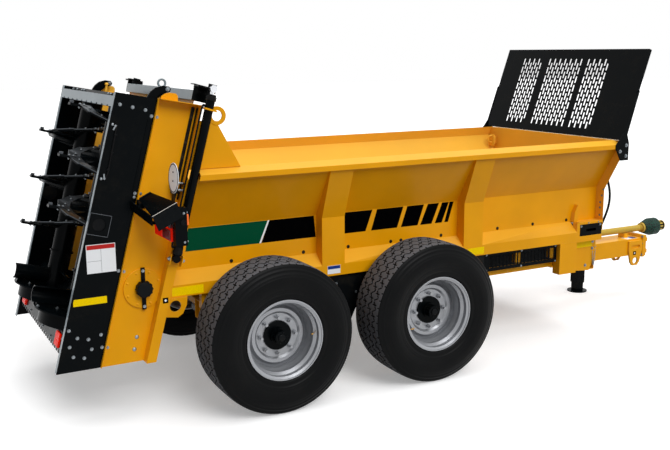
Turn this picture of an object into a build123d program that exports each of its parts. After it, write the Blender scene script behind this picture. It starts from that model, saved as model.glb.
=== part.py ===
from build123d import *
import math
import os

# A rear-discharge manure spreader on a tandem axle, parked on its drawbar jack.
# Millimetres. X runs forward to the hitch, Y to the left, Z up from the ground.
# The names below measure X from the middle of the tandem; the parts are moved
# by one shift at the end, so that the origin lies under the middle of the whole.

# Wheels and axles
AXLE_GAP = 1334
TYRE_R = 562
TYRE_WIDTH = 420
WHEEL_TRACK = 2100
RIM_FLANGE_R = 300
RIM_BARREL_R = 283
RIM_WELL_R = 250
RIM_WIDTH = 372
RIM_SHEET = 9
DISC_OFFSET = 30
DISC_THICK = 12
HUB_BORE_R = 110
STUD_CIRCLE_R = 137.5
STUD_COUNT = 8
STUD_R = 11
STUD_LENGTH = 44
HUB_CAP_R = 50
HUB_CAP_LENGTH = 72
AXLE_SIZE = 110
STUB_R = 45
BEARING_GAP = 0.5
AXLE_Z = TYRE_R

# Load body
BODY_FRONT = 2810
FLOOR_TOP = 1036
FLOOR_THICK = 6
SHEET = 5
WALL_Y = 700
WALL_FOOT_Z = 1042
WALL_KINK_Z = 1345
WALL_FACE_Y = 930
RAIL_Y = 970
RAIL_TOP_Z = 1795
RAIL_EDGE_Z = 1760
RAIL_FOOT_Z = 1720
RAIL_INNER_Y = 880
SKIRT_Y = 800
SKIRT_TOP_Z = 955
SKIRT_FOOT_Z = 867
SKIRT_LIP = 40
SKIRT_FRONT = 2500
TRAY_FOOT_Z = 912
TRAY_HEAD_Z = 1022
RIB_WIDTH = 200
RIB_X = (-40, 1315)
RIB_KINK_Z = 1335
RIB_HEAD_Y = 950

# Rear frame, tilted forward at the top
TILT = 15.04
REAR_X = -2199
REAR_Z = 446
PLATE_Y = 817
PLATE_THICK = 6
PLATE_WIDTH = 290
REAR_HEIGHT = 1960
TOP_RISE = 0.077
PAN_WIDTH = 295
PAN_LIP_Y = 842
PAN_BOX_WIDTH = 68
PAN_BOX_Y = 900
GUSSET_LENGTH = 390
GUSSET_HEAD = 120
GUSSET_DROP = 60
LIFT_EYE_AHEAD = 131
LIFT_EYE_ABOVE = 31
LIFT_EYE_R = 38
LIFT_EYE_THICK = 18
TRIM_WIDTH = 46
HATCH_OUT = 74
HATCH_ALONG = 1061
HATCH_SIZE = 150
HATCH_R = 45
TOP_BEAM_FOOT = 1860
TOP_BEAM_HEIGHT = 73
TOP_BEAM_DEPTH = 60
SCALLOP_R = 40
SCALLOP_DEPTH = 10
SCALLOP_PITCH = 150
SCALLOP_COUNT = 10

# Beaters
BEATER_Y = 400
BEATER_OUT = 165
TUBE_R = 80
FLIGHT_R = 290
FLIGHT_THICK = 9
FLIGHT_PITCH = 366
FLIGHT_START = {1: (835, 180), -1: (899, 0)}
FLIGHT_TURNS = 2.5
FLIGHT_STEPS = 12
TINE_R = 355
TINE_WIDTH = 64
TINE_THICK = 14
TINE_REACH = 118
TINE_EVERY = 3
DISC_R = 308
DISC_FOOT = 360
BEATER_DISC_THICK = 10
PADDLE_R = 60
PADDLE_WALL = 7
PADDLE_REACH = 330
PADDLE_LIFT = 24
PADDLE_COUNT = 4
DRUM_R = 262
DRUM_HEIGHT = 96
COLLAR_Z = 660
BEATER_TOP = 1868
ROOF_Z = 1936
GEAR_FRONT = 480
LAMP_BOARD_HEAD = 252
LAMP_HOLDER_X = (-1428, -1345)
LAMP_HOLDER_Y = (1095, 1155)

# Slurry door
DOOR_OUT = 552
DOOR_FOOT = 810
DOOR_HEAD = 2030
DOOR_HALF = 788
DOOR_BEAM_HEIGHT = 72
DOOR_RING_R = 36
CYLINDER_Y = 934
CYLINDER_R = 31
CYLINDER_BORE_R = 24
ROD_R = 16
CYLINDER_FOOT = 930
CYLINDER_LENGTH = 1141
CYLINDER_OUT = 620
ROD_TOP = 2135

# Conveyor
SHAFT_REAR_X = -1572
SHAFT_FRONT_X = 2680
SHAFT_Z = 975
SPROCKET_R = 62
CHAIN_R = 70
CHAIN_THICK = 16
CHAIN_WIDTH = 26
CHAIN_Y = 420
SLAT_HALF = 672
SLAT_DEPTH = 50
SLAT_HEIGHT = 24
SLAT_PITCH = 330
SHAFT_R = 30

# Chassis
CHASSIS_Y = 700
CHASSIS_WIDTH = 100
CHASSIS_FOOT_Z = 640
CHASSIS_HEIGHT = 150
CHASSIS_REAR = -1120
REAR_TUBE_X = (-1560, -1470)
CROSS_HEIGHT = 50
CROSS_X = (-1090, -330, 330, 1150, 1850, 2250)
UPRIGHT_Y = 740
EYE_OUT = 738
EYE_ALONG = 572
EYE_R = 42
EYE_Y = 797
EYE_THICK = 16

# Front screen
SCREEN_TILT = 19.6
SCREEN_X = 2816
SCREEN_Z = 1804
SCREEN_HALF = 970
SCREEN_HEIGHT = 850
SCREEN_THICK = 4
SCREEN_LIP = 32
SLOT_WIDTH = 19
SLOT_LENGTH = 66
SLOT_PITCH = 37
SLOT_ROW = 88

# Drawbar, hitch and jack
DRAWBAR_HALF = 120
DRAWBAR_FOOT_Z = 445
DRAWBAR_HEAD_Z = 620
DRAWBAR_FRONT = 4080
DRAWBAR_SHEET = 10
NECK_FRONT = 3300
NECK_HEAD_Z = 720
HITCH_FRONT = 4272
HITCH_BORE_R = 25
JACK_X = 3600
JACK_Y = 310
JACK_TUBE = 105
JACK_WALL = 7
JACK_GAP = 0.9
JACK_FOOT_R = 105
JACK_TUBE_FOOT = 98
JACK_TUBE_HEAD = 760
JACK_SLEEVE_Z = (430, 640)
PTO_Z = 700
TIE_X = 3980
TIE_Z = 385
TIE_BORE_R = 35
PTO_R = 34
PTO_SHAFT_R = 27
PTO_BORE_R = 17.5
PTO_REAR = 2811
PTO_FRONT = 4230
PTO_END = 4500

COS = math.cos(math.radians(TILT))
SIN = math.sin(math.radians(TILT))
SLOPE = SIN / COS
REAR = Location((REAR_X, 0, REAR_Z), (0, TILT, 0))


def outline(points):
    return make_face(Polyline(*points, close=True))


def along_x(points, low, high):
    """An outline of (y, z) points stretched along X."""
    return Pos(low, 0, 0) * extrude(Plane.YZ * outline(points), amount=high - low)


def along_y(points, low, high):
    """An outline of (x, z) points stretched along Y."""
    return Pos(0, high, 0) * extrude(Plane.XZ * outline(points), amount=high - low)


def block(x, y, z):
    """A box between a low and a high value on each axis."""
    size = (x[1] - x[0], y[1] - y[0], z[1] - z[0])
    return Pos(x[0], y[0], z[0]) * Box(*size, align=(Align.MIN, Align.MIN, Align.MIN))


def rod(start, end, radius):
    """A round bar from one point to another."""
    start = Vector(*start)
    end = Vector(*end)
    plane = Plane(start, z_dir=end - start)
    return extrude(plane * Circle(radius), amount=(end - start).length)


def slab(corner, one, two, sweep):
    """A slanted box: a corner and the three edges that leave it."""
    corner, one, two, sweep = (Vector(*values) for values in (corner, one, two, sweep))
    face = make_face(Polyline(corner, corner + one, corner + one + two, corner + two, close=True))
    return extrude(face, amount=sweep.length, dir=sweep)


def tube_box(x, y, z, wall, axis):
    """A square tube along the named axis, open at both ends."""
    spans = [list(x), list(y), list(z)]
    inner = []
    for index, span in enumerate(spans):
        if "xyz"[index] == axis:
            inner.append((span[0] - 1, span[1] + 1))
        else:
            inner.append((span[0] + wall, span[1] - wall))
    return block(x, y, z) - block(*inner)


def folded(points, thick):
    """Outline of a folded sheet: its face line, and that line moved to its right."""
    moved = []
    for index, point in enumerate(points):
        sides = []
        if index > 0:
            sides.append((points[index - 1], point))
        if index < len(points) - 1:
            sides.append((point, points[index + 1]))
        normals = []
        for (ax, ay), (bx, by) in sides:
            length = math.hypot(bx - ax, by - ay)
            normals.append(((by - ay) / length, (ax - bx) / length))
        nx = sum(normal[0] for normal in normals)
        ny = sum(normal[1] for normal in normals)
        scale = thick * len(normals) / (nx * nx + ny * ny)
        moved.append((point[0] + nx * scale, point[1] + ny * scale))
    return list(points) + moved[::-1]


def joined(pieces):
    return Part() + list(pieces)


def mirrored(piece):
    return mirror(piece, about=Plane.XZ)


def rear_point(out, y, along):
    """Where a point of the tilted rear frame lies."""
    return (REAR_X + out * COS + along * SIN, y, REAR_Z - out * SIN + along * COS)


def rear_cut(offset):
    """The half space behind the tilted plane at this distance from the rear edge."""
    return REAR * block((offset - 3000, offset), (-2000, 2000), (-2000, 4000))


# Every two-sided piece below is drawn on the left, where Y is positive.
# The right one is its mirror image.

PAN_FRONT = PLATE_WIDTH + PAN_WIDTH
BOX_FRONT = PAN_FRONT + PAN_BOX_WIDTH


def side_wall():
    face = [
        (WALL_FACE_Y, RAIL_FOOT_Z),
        (WALL_Y, WALL_KINK_Z),
        (WALL_Y, WALL_FOOT_Z),
        (SKIRT_Y, SKIRT_TOP_Z),
        (SKIRT_Y, SKIRT_FOOT_Z),
        (SKIRT_Y - SKIRT_LIP, SKIRT_FOOT_Z),
    ]
    start = REAR_X
    sheet = along_x(folded(face, SHEET), start, BODY_FRONT)
    rail_foot_y = WALL_FACE_Y - 2 * SHEET
    rail_foot_z = RAIL_FOOT_Z - 4 * SHEET
    rail = [
        (RAIL_INNER_Y, RAIL_TOP_Z),
        (RAIL_Y, RAIL_EDGE_Z),
        (RAIL_Y, RAIL_FOOT_Z),
        (WALL_FACE_Y, RAIL_FOOT_Z),
        (rail_foot_y, rail_foot_z),
    ]
    rail_tube = along_x(rail, start, BODY_FRONT)
    hollow = Plane.YZ * offset(outline(rail), amount=-SHEET)
    rail_tube -= Pos(start - 1, 0, 0) * extrude(hollow, amount=BODY_FRONT - start + 2)
    wall = sheet + rail_tube
    ledge_end = block((SKIRT_FRONT, BODY_FRONT + 1), (WALL_Y + 1, RAIL_Y), (0, WALL_FOOT_Z))
    wall -= ledge_end
    end_face = [
        (WALL_Y - SHEET, WALL_FOOT_Z),
        (SKIRT_Y, SKIRT_TOP_Z),
        (SKIRT_Y, SKIRT_FOOT_Z),
        (WALL_Y - SHEET, SKIRT_FOOT_Z),
    ]
    wall += along_x(end_face, SKIRT_FRONT - SHEET, SKIRT_FRONT)
    for middle in RIB_X:
        wall += wall_rib(middle)
    return wall - rear_cut(BOX_FRONT)


def wall_rib(middle):
    low = middle - RIB_WIDTH / 2
    high = middle + RIB_WIDTH / 2
    skin = [
        (WALL_Y, WALL_FOOT_Z),
        (SKIRT_Y, SKIRT_TOP_Z),
        (SKIRT_Y, RIB_KINK_Z),
        (RIB_HEAD_Y, RAIL_FOOT_Z),
        (WALL_FACE_Y, RAIL_FOOT_Z),
        (WALL_Y, WALL_KINK_Z),
    ]
    hollow = [
        (WALL_Y, WALL_FOOT_Z),
        (SKIRT_Y - SHEET, SKIRT_TOP_Z + SHEET),
        (SKIRT_Y - SHEET, RIB_KINK_Z),
        (RIB_HEAD_Y - SHEET, RAIL_FOOT_Z),
        (WALL_FACE_Y, RAIL_FOOT_Z),
        (WALL_Y, WALL_KINK_Z),
    ]
    return along_x(skin, low, high) - along_x(hollow, low + SHEET, high - SHEET)


def front_wall():
    half = [
        (0, FLOOR_TOP - 85),
        (SKIRT_Y - SHEET, FLOOR_TOP - 85),
        (SKIRT_Y - SHEET, RIB_KINK_Z - SHEET),
        (RAIL_Y, 1630),
        (RAIL_Y, RAIL_EDGE_Z),
        (RAIL_INNER_Y, RAIL_TOP_Z),
        (0, RAIL_TOP_Z),
    ]
    other = [(-y, z) for y, z in reversed(half[1:-1])]
    plate = along_x(half + other, BODY_FRONT, BODY_FRONT + SHEET + 1)
    front = BODY_FRONT + SHEET + 1
    rail = tube_box(
        (front, front + 60),
        (-RAIL_INNER_Y, RAIL_INNER_Y),
        (RAIL_FOOT_Z, RAIL_TOP_Z - 6),
        SHEET,
        "y",
    )
    stiffeners = []
    for y in (-450, 0, 450):
        stiffeners.append(block((front, front + 40), (y - 30, y + 30), (FLOOR_TOP, RAIL_FOOT_Z)))
    return joined([plate, rail] + stiffeners)


def load_floor():
    rear = SHAFT_REAR_X + CHAIN_R + 30
    front = SHAFT_FRONT_X - CHAIN_R - 30
    half = WALL_Y - SHEET
    floor = block((rear, front), (-half, half), (FLOOR_TOP - FLOOR_THICK, FLOOR_TOP))
    for x in CROSS_X:
        channel = [
            (x - 30, FLOOR_TOP - FLOOR_THICK),
            (x + 30, FLOOR_TOP - FLOOR_THICK),
            (x + 30, FLOOR_TOP - 70),
            (x - 30, FLOOR_TOP - 70),
        ]
        floor += along_y(channel, -half, half)
    return floor


def chassis_frame():
    head = CHASSIS_FOOT_Z + CHASSIS_HEIGHT
    pieces = []
    for side in (-1, 1):
        inner = CHASSIS_Y - CHASSIS_WIDTH
        span = sorted((side * inner, side * CHASSIS_Y))
        x = (CHASSIS_REAR, BODY_FRONT - 60)
        pieces.append(tube_box(x, span, (CHASSIS_FOOT_Z, head), 8, "x"))
        for cross in CROSS_X:
            outer = sorted((side * CHASSIS_Y, side * (UPRIGHT_Y + 18)))
            pieces.append(block((cross - 30, cross + 30), outer, (head - CROSS_HEIGHT, head)))
            upright = sorted((side * (WALL_Y + 6), side * (UPRIGHT_Y + 18)))
            pieces.append(block((cross - 30, cross + 30), upright, (head, SKIRT_FOOT_Z)))
    for cross in CROSS_X:
        span = (-(CHASSIS_Y - CHASSIS_WIDTH), CHASSIS_Y - CHASSIS_WIDTH)
        pieces.append(block((cross - 30, cross + 30), span, (head - CROSS_HEIGHT, head)))
    rear_span = (-(PLATE_Y - PLATE_THICK), PLATE_Y - PLATE_THICK)
    pieces.append(tube_box(REAR_TUBE_X, rear_span, (660, head), 8, "y"))
    front = (BODY_FRONT - 60, BODY_FRONT)
    span = (-CHASSIS_Y - 15, CHASSIS_Y + 15)
    pieces.append(tube_box(front, span, (560, head), 8, "y"))
    return joined(pieces)


def front_column():
    """The box post, side plate and tray under the front end of the left wall."""
    back = SKIRT_FRONT
    post = tube_box((back - 200, back), (710, SKIRT_Y), (580, SKIRT_FOOT_Z), SHEET, "z")
    plate = [
        (back, SKIRT_FOOT_Z),
        (BODY_FRONT, SKIRT_FOOT_Z),
        (BODY_FRONT, 690),
        (BODY_FRONT - 70, 556),
        (back, 575),
    ]
    side_plate = along_y(plate, 715, 721)
    y = (WALL_Y + 1, SKIRT_Y - 5)
    shelf = block((back, BODY_FRONT), y, (SKIRT_FOOT_Z - 8, TRAY_FOOT_Z))
    lid = block((back + 35, BODY_FRONT), y, (TRAY_HEAD_Z, WALL_FOOT_Z))
    socket = tube_box((back, back + 35), (WALL_Y + 40, y[1]), (TRAY_FOOT_Z, WALL_FOOT_Z), SHEET, "z")
    rib = [
        (back + 2, WALL_FOOT_Z),
        (back + 55, WALL_FOOT_Z),
        (back + 45, WALL_FOOT_Z + 158),
        (back + 12, WALL_FOOT_Z + 88),
    ]
    gusset = along_y(rib, WALL_Y + 1, WALL_Y + 46)
    return joined([post, side_plate, shelf, lid, socket, gusset])


def front_tray():
    start = SKIRT_FRONT + 35
    tray = block((start, BODY_FRONT), (WALL_Y + 1, SKIRT_Y - 12), (TRAY_FOOT_Z, TRAY_HEAD_Z))
    slot = block((start + 85, start + 205), (SKIRT_Y - 60, SKIRT_Y), (950, 975))
    return tray - slot


def mesh_guard():
    x = (1470, SKIRT_FRONT - 210)
    y = (UPRIGHT_Y + 18, UPRIGHT_Y + 24)
    z = (700, 862)
    frame = block(x, y, z)
    window = block((x[0] + 50, x[1] - 30), (y[0] - 1, y[1] + 1), (z[0] + 30, z[1] - 25))
    guard = frame - window
    step = 40
    count = int((x[1] - x[0] - 80) / step)
    for index in range(1, count):
        left = x[0] + 50 + index * step
        guard += block((left - 4, left + 4), y, (z[0] + 20, z[1] - 20))
    return guard


def tie_eye():
    """The tie-down lug that hangs under the skirt, ahead of the post."""
    rear = BOX_FRONT - 13
    front = EYE_OUT + 74
    def under(out):
        return (SKIRT_FOOT_Z - 0.5 - REAR_Z + out * SIN) / COS
    shape = [
        (rear, under(rear)),
        (front, under(front)),
        (EYE_OUT + 82, EYE_ALONG + 20),
        (EYE_OUT + 68, EYE_ALONG - 44),
        (EYE_OUT + 37, EYE_ALONG - 78),
        (rear, EYE_ALONG - 94),
    ]
    lug = along_y(shape, EYE_Y, EYE_Y + EYE_THICK)
    return lug - Pos(EYE_OUT, EYE_Y + EYE_THICK + 1, EYE_ALONG) * extrude(
        Plane.XZ * Circle(EYE_R), amount=EYE_THICK + 2)


def rear_post():
    """The yellow pan between the beater housing and the wall, tilted with both."""
    def top(offset):
        return REAR_HEIGHT + offset * TOP_RISE
    web = [
        (PLATE_WIDTH, PLATE_WIDTH * SLOPE),
        (BOX_FRONT, BOX_FRONT * SLOPE),
        (BOX_FRONT, top(BOX_FRONT) - 620),
        (PAN_FRONT, top(BOX_FRONT) - 500),
        (PAN_FRONT, top(PAN_FRONT)),
        (PLATE_WIDTH, top(PLATE_WIDTH)),
    ]
    inner = PLATE_Y - PLATE_THICK
    pan = along_y(web, inner, PLATE_Y)
    rear_lip = [
        (PLATE_WIDTH, PLATE_WIDTH * SLOPE),
        (PLATE_WIDTH + SHEET, (PLATE_WIDTH + SHEET) * SLOPE),
        (PLATE_WIDTH + SHEET, top(PLATE_WIDTH + SHEET)),
        (PLATE_WIDTH, top(PLATE_WIDTH)),
    ]
    pan += along_y(rear_lip, PLATE_Y, PAN_LIP_Y)
    cap = [
        (PLATE_WIDTH, top(PLATE_WIDTH)),
        (PAN_FRONT + 8, top(PAN_FRONT + 8)),
        (PAN_FRONT + 8, top(PAN_FRONT + 8) + SHEET),
        (PLATE_WIDTH, top(PLATE_WIDTH) + SHEET),
    ]
    pan += along_y(cap, inner, PAN_BOX_Y)
    box = [
        (PAN_FRONT, PAN_FRONT * SLOPE),
        (BOX_FRONT, BOX_FRONT * SLOPE),
        (BOX_FRONT, top(BOX_FRONT) - 620),
        (PAN_FRONT, top(BOX_FRONT) - 500),
    ]
    hollow = [
        (PAN_FRONT + SHEET, 0),
        (BOX_FRONT - SHEET, 0),
        (BOX_FRONT - SHEET, top(BOX_FRONT) - 700),
        (PAN_FRONT + SHEET, top(BOX_FRONT) - 640),
    ]
    pan += along_y(box, PLATE_Y, PAN_BOX_Y)
    pan -= along_y(hollow, PLATE_Y + SHEET, PAN_BOX_Y - SHEET)
    lip = [
        (PAN_FRONT - SHEET, top(BOX_FRONT) - 560),
        (PAN_FRONT, top(BOX_FRONT) - 560),
        (PAN_FRONT, top(PAN_FRONT)),
        (PAN_FRONT - SHEET, top(PAN_FRONT - SHEET)),
    ]
    pan += along_y(lip, PLATE_Y, PAN_BOX_Y)
    guide = [
        (DOOR_OUT - 13, 700),
        (DOOR_OUT - 8, 700),
        (DOOR_OUT - 8, 1990),
        (DOOR_OUT - 13, 1990),
    ]
    other = [(x + 21, z) for x, z in guide]
    for strip in (guide, other):
        pan += along_y(strip, inner - 40, inner)
    foot = CYLINDER_FOOT
    bracket = along_y(
        [(CYLINDER_OUT - 34, foot - 40), (CYLINDER_OUT + 32, foot - 40),
         (CYLINDER_OUT + 32, foot + 18), (CYLINDER_OUT - 34, foot + 18)],
        PAN_BOX_Y - 1, CYLINDER_Y - 17.3)
    pan += bracket
    quarter = [
        (310, 1982), (310, 2007), (332, 2029), (361, 2043), (406, 2047), (423, 2034), (431, 2001), (431, 1992),
    ]
    pan += along_y(quarter, PLATE_Y - 3, PLATE_Y + 3)
    hoop_y = CYLINDER_Y + CYLINDER_R + 8
    start = PAN_FRONT - 8
    arm = [(start, 1986), (start + 10, 1985), (start + 10, 1997), (start, 1998)]
    guard = [(start, 1986), (664, 1982), (664, 1994), (start, 1998)]
    pan += along_y(arm, PAN_BOX_Y - 8, hoop_y + 8)
    pan += along_y(guard, hoop_y, hoop_y + 8)
    pan += tie_eye()
    disc = extrude(Plane.XZ * Circle(140), amount=12)
    return REAR * pan + Pos(SHAFT_REAR_X, PLATE_Y + 12, SHAFT_Z) * disc


def gusset_plate():
    """The triangle that ties the rail to the post, with its lifting eye."""
    y = (RAIL_INNER_Y + 4, RAIL_INNER_Y + 16)
    foot_z = RAIL_TOP_Z - 1.5
    back = PAN_FRONT + 0.2
    low = rear_point(back, 0, (foot_z - REAR_Z + back * SIN) / COS)
    high = rear_point(back, 0, REAR_HEIGHT - GUSSET_DROP)
    corners = [
        (low[0], foot_z),
        (low[0] + GUSSET_LENGTH, foot_z),
        (high[0] + GUSSET_HEAD, high[2]),
        (high[0], high[2]),
    ]
    plate = along_y(corners, *y)
    centre = Pos(high[0] + LIFT_EYE_AHEAD, y[1] + 3, high[2] + LIFT_EYE_ABOVE)
    ring = centre * extrude(Plane.XZ * Circle(66), amount=LIFT_EYE_THICK)
    bore = centre * Pos(0, 1, 0) * extrude(Plane.XZ * Circle(LIFT_EYE_R), amount=LIFT_EYE_THICK + 2)
    return plate + ring - bore


def housing_plate():
    """The black side plate of the beater housing."""
    top = REAR_HEIGHT
    plate = [
        (0, 0),
        (PLATE_WIDTH, PLATE_WIDTH * SLOPE),
        (PLATE_WIDTH, top + PLATE_WIDTH * TOP_RISE),
        (0, top),
    ]
    side = along_y(plate, PLATE_Y - PLATE_THICK, PLATE_Y)
    place = Pos(HATCH_OUT, PLATE_Y + 4, HATCH_ALONG)
    half = HATCH_SIZE / 2
    side += place * block((-half, half), (-4.5, 0), (-half, half))
    side -= place * Pos(0, 1, 0) * extrude(Plane.XZ * Circle(HATCH_R), amount=20)
    return REAR * side


def housing_trim():
    """The pale strips on the rear edges, and the scalloped beam between them."""
    half = PLATE_Y - TRIM_WIDTH
    head = TOP_BEAM_FOOT + TOP_BEAM_HEIGHT
    trim = tube_box((0, TOP_BEAM_DEPTH), (-half - 1, half + 1), (TOP_BEAM_FOOT, head), 6, "y")
    for index in range(SCALLOP_COUNT):
        y = (index - (SCALLOP_COUNT - 1) / 2) * SCALLOP_PITCH
        centre = Pos(-1, y, TOP_BEAM_FOOT + SCALLOP_DEPTH - SCALLOP_R)
        trim -= centre * extrude(Plane.YZ * Circle(SCALLOP_R), amount=8)
    for side in (-1, 1):
        y = sorted((side * (PLATE_Y - PLATE_THICK), side * half))
        trim += block((0, 6), y, (4, REAR_HEIGHT))
    return REAR * trim


def housing_roof():
    """The plate between the housing's sides, with the top bearings and two curved lugs."""
    half = PLATE_Y - PLATE_THICK
    roof = block((80, PLATE_WIDTH), (-half, half), (ROOF_Z, ROOF_Z + 8))
    roof += block((74, 82), (-half, half), (ROOF_Z, REAR_HEIGHT))
    for y in (-BEATER_Y, BEATER_Y):
        foot = BEATER_TOP + 0.5
        roof += Pos(BEATER_OUT, y, foot) * Cylinder(
            48, ROOF_Z - foot, align=(Align.CENTER, Align.CENTER, Align.MIN))
    arm = [
        (228, ROOF_Z + 4), (228, 1986), (243, 2021), (271, 2055), (317, 2079), (362, 2084),
        (379, 2069), (376, 2049), (347, 2033), (320, 2008), (300, 1985), (284, ROOF_Z + 4),
    ]
    for side in (-1, 1):
        lug = along_y(arm, *sorted((side * 762, side * 778)))
        lug -= Pos(356, 800, 2064) * extrude(Plane.XZ * Circle(11), amount=1600)
        roof += lug
    return REAR * roof


def flight(start, turns, phase):
    """A helical flight in flat facets, its inner edge sunk in the tube."""
    count = int(turns * FLIGHT_STEPS)
    inner = TUBE_R - 4
    rows = []
    for index in range(count + 1):
        angle = phase + index * 2 * math.pi / FLIGHT_STEPS
        height = start + index * FLIGHT_PITCH / FLIGHT_STEPS
        row = []
        for radius, lift in ((inner, 0), (FLIGHT_R, 0), (FLIGHT_R, FLIGHT_THICK), (inner, FLIGHT_THICK)):
            x = radius * math.cos(angle)
            y = radius * math.sin(angle)
            row.append(Vector(x, y, height + lift))
        rows.append(row)
    faces = []
    for low, high in zip(rows, rows[1:]):
        for index in range(4):
            after = (index + 1) % 4
            faces.append(triangle(low[index], low[after], high[after]))
            faces.append(triangle(low[index], high[after], high[index]))
    faces.append(Face(Wire.make_polygon(rows[0][::-1], close=True)))
    faces.append(Face(Wire.make_polygon(rows[-1], close=True)))
    return Solid(Shell(faces))


def triangle(one, two, three):
    return Face(Wire.make_polygon([one, two, three], close=True))


def paddle():
    """A thrower on the disc: half a pipe lying on a web, open on its leading side."""
    start = TUBE_R - 10
    rise = BEATER_DISC_THICK + PADDLE_LIFT + PADDLE_R
    half_pipe = Plane.YZ * (Circle(PADDLE_R) - Circle(PADDLE_R - PADDLE_WALL))
    pipe = Pos(start, 0, rise) * extrude(half_pipe, amount=PADDLE_REACH - start)
    pipe -= block((0, PADDLE_REACH + 5), (-PADDLE_R - 1, -8), (0, 2 * rise))
    web = block((start, DISC_R - 12), (0, 10), (BEATER_DISC_THICK - 1, rise - PADDLE_R + 4))
    return pipe + web


def beater(hand):
    """One upright rotor about local Z: tube, flight, tines, disc, paddles and drum."""
    start, turn = FLIGHT_START[hand]
    body = Pos(0, 0, DISC_FOOT) * Cylinder(
        TUBE_R, BEATER_TOP - DISC_FOOT, align=(Align.CENTER, Align.CENTER, Align.MIN))
    body += Pos(0, 0, COLLAR_Z) * Cylinder(TUBE_R + 12, 12)
    body += flight(start, FLIGHT_TURNS, math.radians(turn))
    count = int(FLIGHT_TURNS * FLIGHT_STEPS / TINE_EVERY)
    tine = block((TINE_R - TINE_REACH, TINE_R), (-TINE_WIDTH / 2, TINE_WIDTH / 2), (-3, TINE_THICK))
    for index in range(count + 1):
        step = index * TINE_EVERY
        height = start + step * FLIGHT_PITCH / FLIGHT_STEPS
        body += Pos(0, 0, height) * Rot(0, 0, turn + step * 360 / FLIGHT_STEPS) * tine
    disc = Cylinder(DISC_R, BEATER_DISC_THICK, align=(Align.CENTER, Align.CENTER, Align.MIN))
    body += Pos(0, 0, DISC_FOOT) * disc
    for index in range(PADDLE_COUNT):
        body += Pos(0, 0, DISC_FOOT) * Rot(0, 0, turn + index * 360 / PADDLE_COUNT) * paddle()
    ring = Cylinder(DRUM_R, DRUM_HEIGHT) - Cylinder(DRUM_R - 6, DRUM_HEIGHT + 1)
    body += Pos(0, 0, DISC_FOOT - DRUM_HEIGHT / 2) * ring
    if hand < 0:
        body = mirror(body, about=Plane.XZ)
    return REAR * Pos(BEATER_OUT, hand * BEATER_Y, 0) * body


def beater_gears():
    """The cross beam under the beaters, with its three gear housings."""
    half = PLATE_Y - PLATE_THICK
    beam = tube_box((BEATER_OUT - 80, BEATER_OUT + 80), (-half, half), (120, 220), 8, "y")
    pieces = [beam]
    for y in (-BEATER_Y, BEATER_Y):
        pieces.append(Pos(BEATER_OUT, y, 220) * Cylinder(
            110, 60, align=(Align.CENTER, Align.CENTER, Align.MIN)))
        pieces.append(Pos(BEATER_OUT, y, 280) * Cylinder(
            55, DISC_FOOT - 280 - 0.5, align=(Align.CENTER, Align.CENTER, Align.MIN)))
    pieces.append(block((BEATER_OUT + 80, GEAR_FRONT), (-55, 55), (140, 310)))
    return REAR * joined(pieces)


def lamp_board():
    half = PLATE_Y - PLATE_THICK
    foot = LAMP_BOARD_HEAD - 112
    points = [(-half, LAMP_BOARD_HEAD), (half, LAMP_BOARD_HEAD), (half, foot)]
    step = 2 * half / 26
    for index in range(26):
        right = half - index * step
        points.append((right - step * 0.5, foot))
        points.append((right - step * 0.5, foot - 22))
        points.append((right - step, foot - 22))
        points.append((right - step, foot))
    board = along_x(points, 18, 24)
    return REAR * board


def lamp_guard():
    """The bent plate on an arm over the side lamp, and the lamp's black holder."""
    inner_rear = Vector(-1585, 870, 1614)
    rise = Vector(85, 0, 40)
    outer_rear = Vector(-1575, 1130, 1533)
    thick = Vector(0, -1.5, -5)
    roof = make_face(Polyline(
        inner_rear, inner_rear + rise, outer_rear + 2 * rise, outer_rear, close=True))
    pieces = [extrude(roof, amount=5, dir=thick)]
    pieces.append(slab(outer_rear, 2 * rise, (20, 70, -87), (0, -4, -3.5)))
    foot = (-1632, PLATE_Y + 0.3, 1538)
    pieces.append(slab(foot, (0, 0, 62), (52, 1126 - PLATE_Y, -68), (8, 0, 0)))
    pieces.append(slab(inner_rear + Vector(-18, 0, -40), (0, 0, 38), (0, 60, -19), (40, 0, 0)))
    pieces.append(block((-1580, -1385), (1104, 1126), (1478, 1500)))
    pieces.append(block(LAMP_HOLDER_X, LAMP_HOLDER_Y, (1318, 1578)))
    return joined(pieces)


def side_lamp():
    """The side lamp, between the guard's holder and the post."""
    start = Vector(-1500, 930, 1376)
    edge = Vector(0.36, 1, -0.21) * (LAMP_HOLDER_Y[0] - 0.5 - start.Y)
    return slab(start, edge, (0, 0, 84), (58, 0, 0))


def tail_lamps():
    pieces = []
    for side in (-1, 1):
        y = sorted((side * 560, side * 680))
        for drop in (50, 100):
            foot = LAMP_BOARD_HEAD - drop
            pieces.append(block((4, 17.7), y, (foot, foot + 46)))
    return joined([REAR * joined(pieces), side_lamp(), mirrored(side_lamp())])


def door_panel():
    panel = block((DOOR_OUT - 3, DOOR_OUT + 3), (-DOOR_HALF, DOOR_HALF), (DOOR_FOOT, DOOR_HEAD))
    for z in (DOOR_FOOT + 20, 1200, 1600):
        panel += block((DOOR_OUT + 3, DOOR_OUT + 33), (-700, 700), (z, z + 50))
    return REAR * panel


def door_beam():
    half = DOOR_HALF + 30
    beam = tube_box(
        (DOOR_OUT - 30, DOOR_OUT + 30), (-half, half), (DOOR_HEAD, DOOR_HEAD + DOOR_BEAM_HEIGHT), 6, "y")
    eye = extrude(Plane.XZ * (Circle(DOOR_RING_R) - Circle(DOOR_RING_R - 15)), amount=16)
    beam += Pos(DOOR_OUT, 8, DOOR_HEAD + DOOR_BEAM_HEIGHT + DOOR_RING_R - 5) * eye
    return REAR * beam


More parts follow.
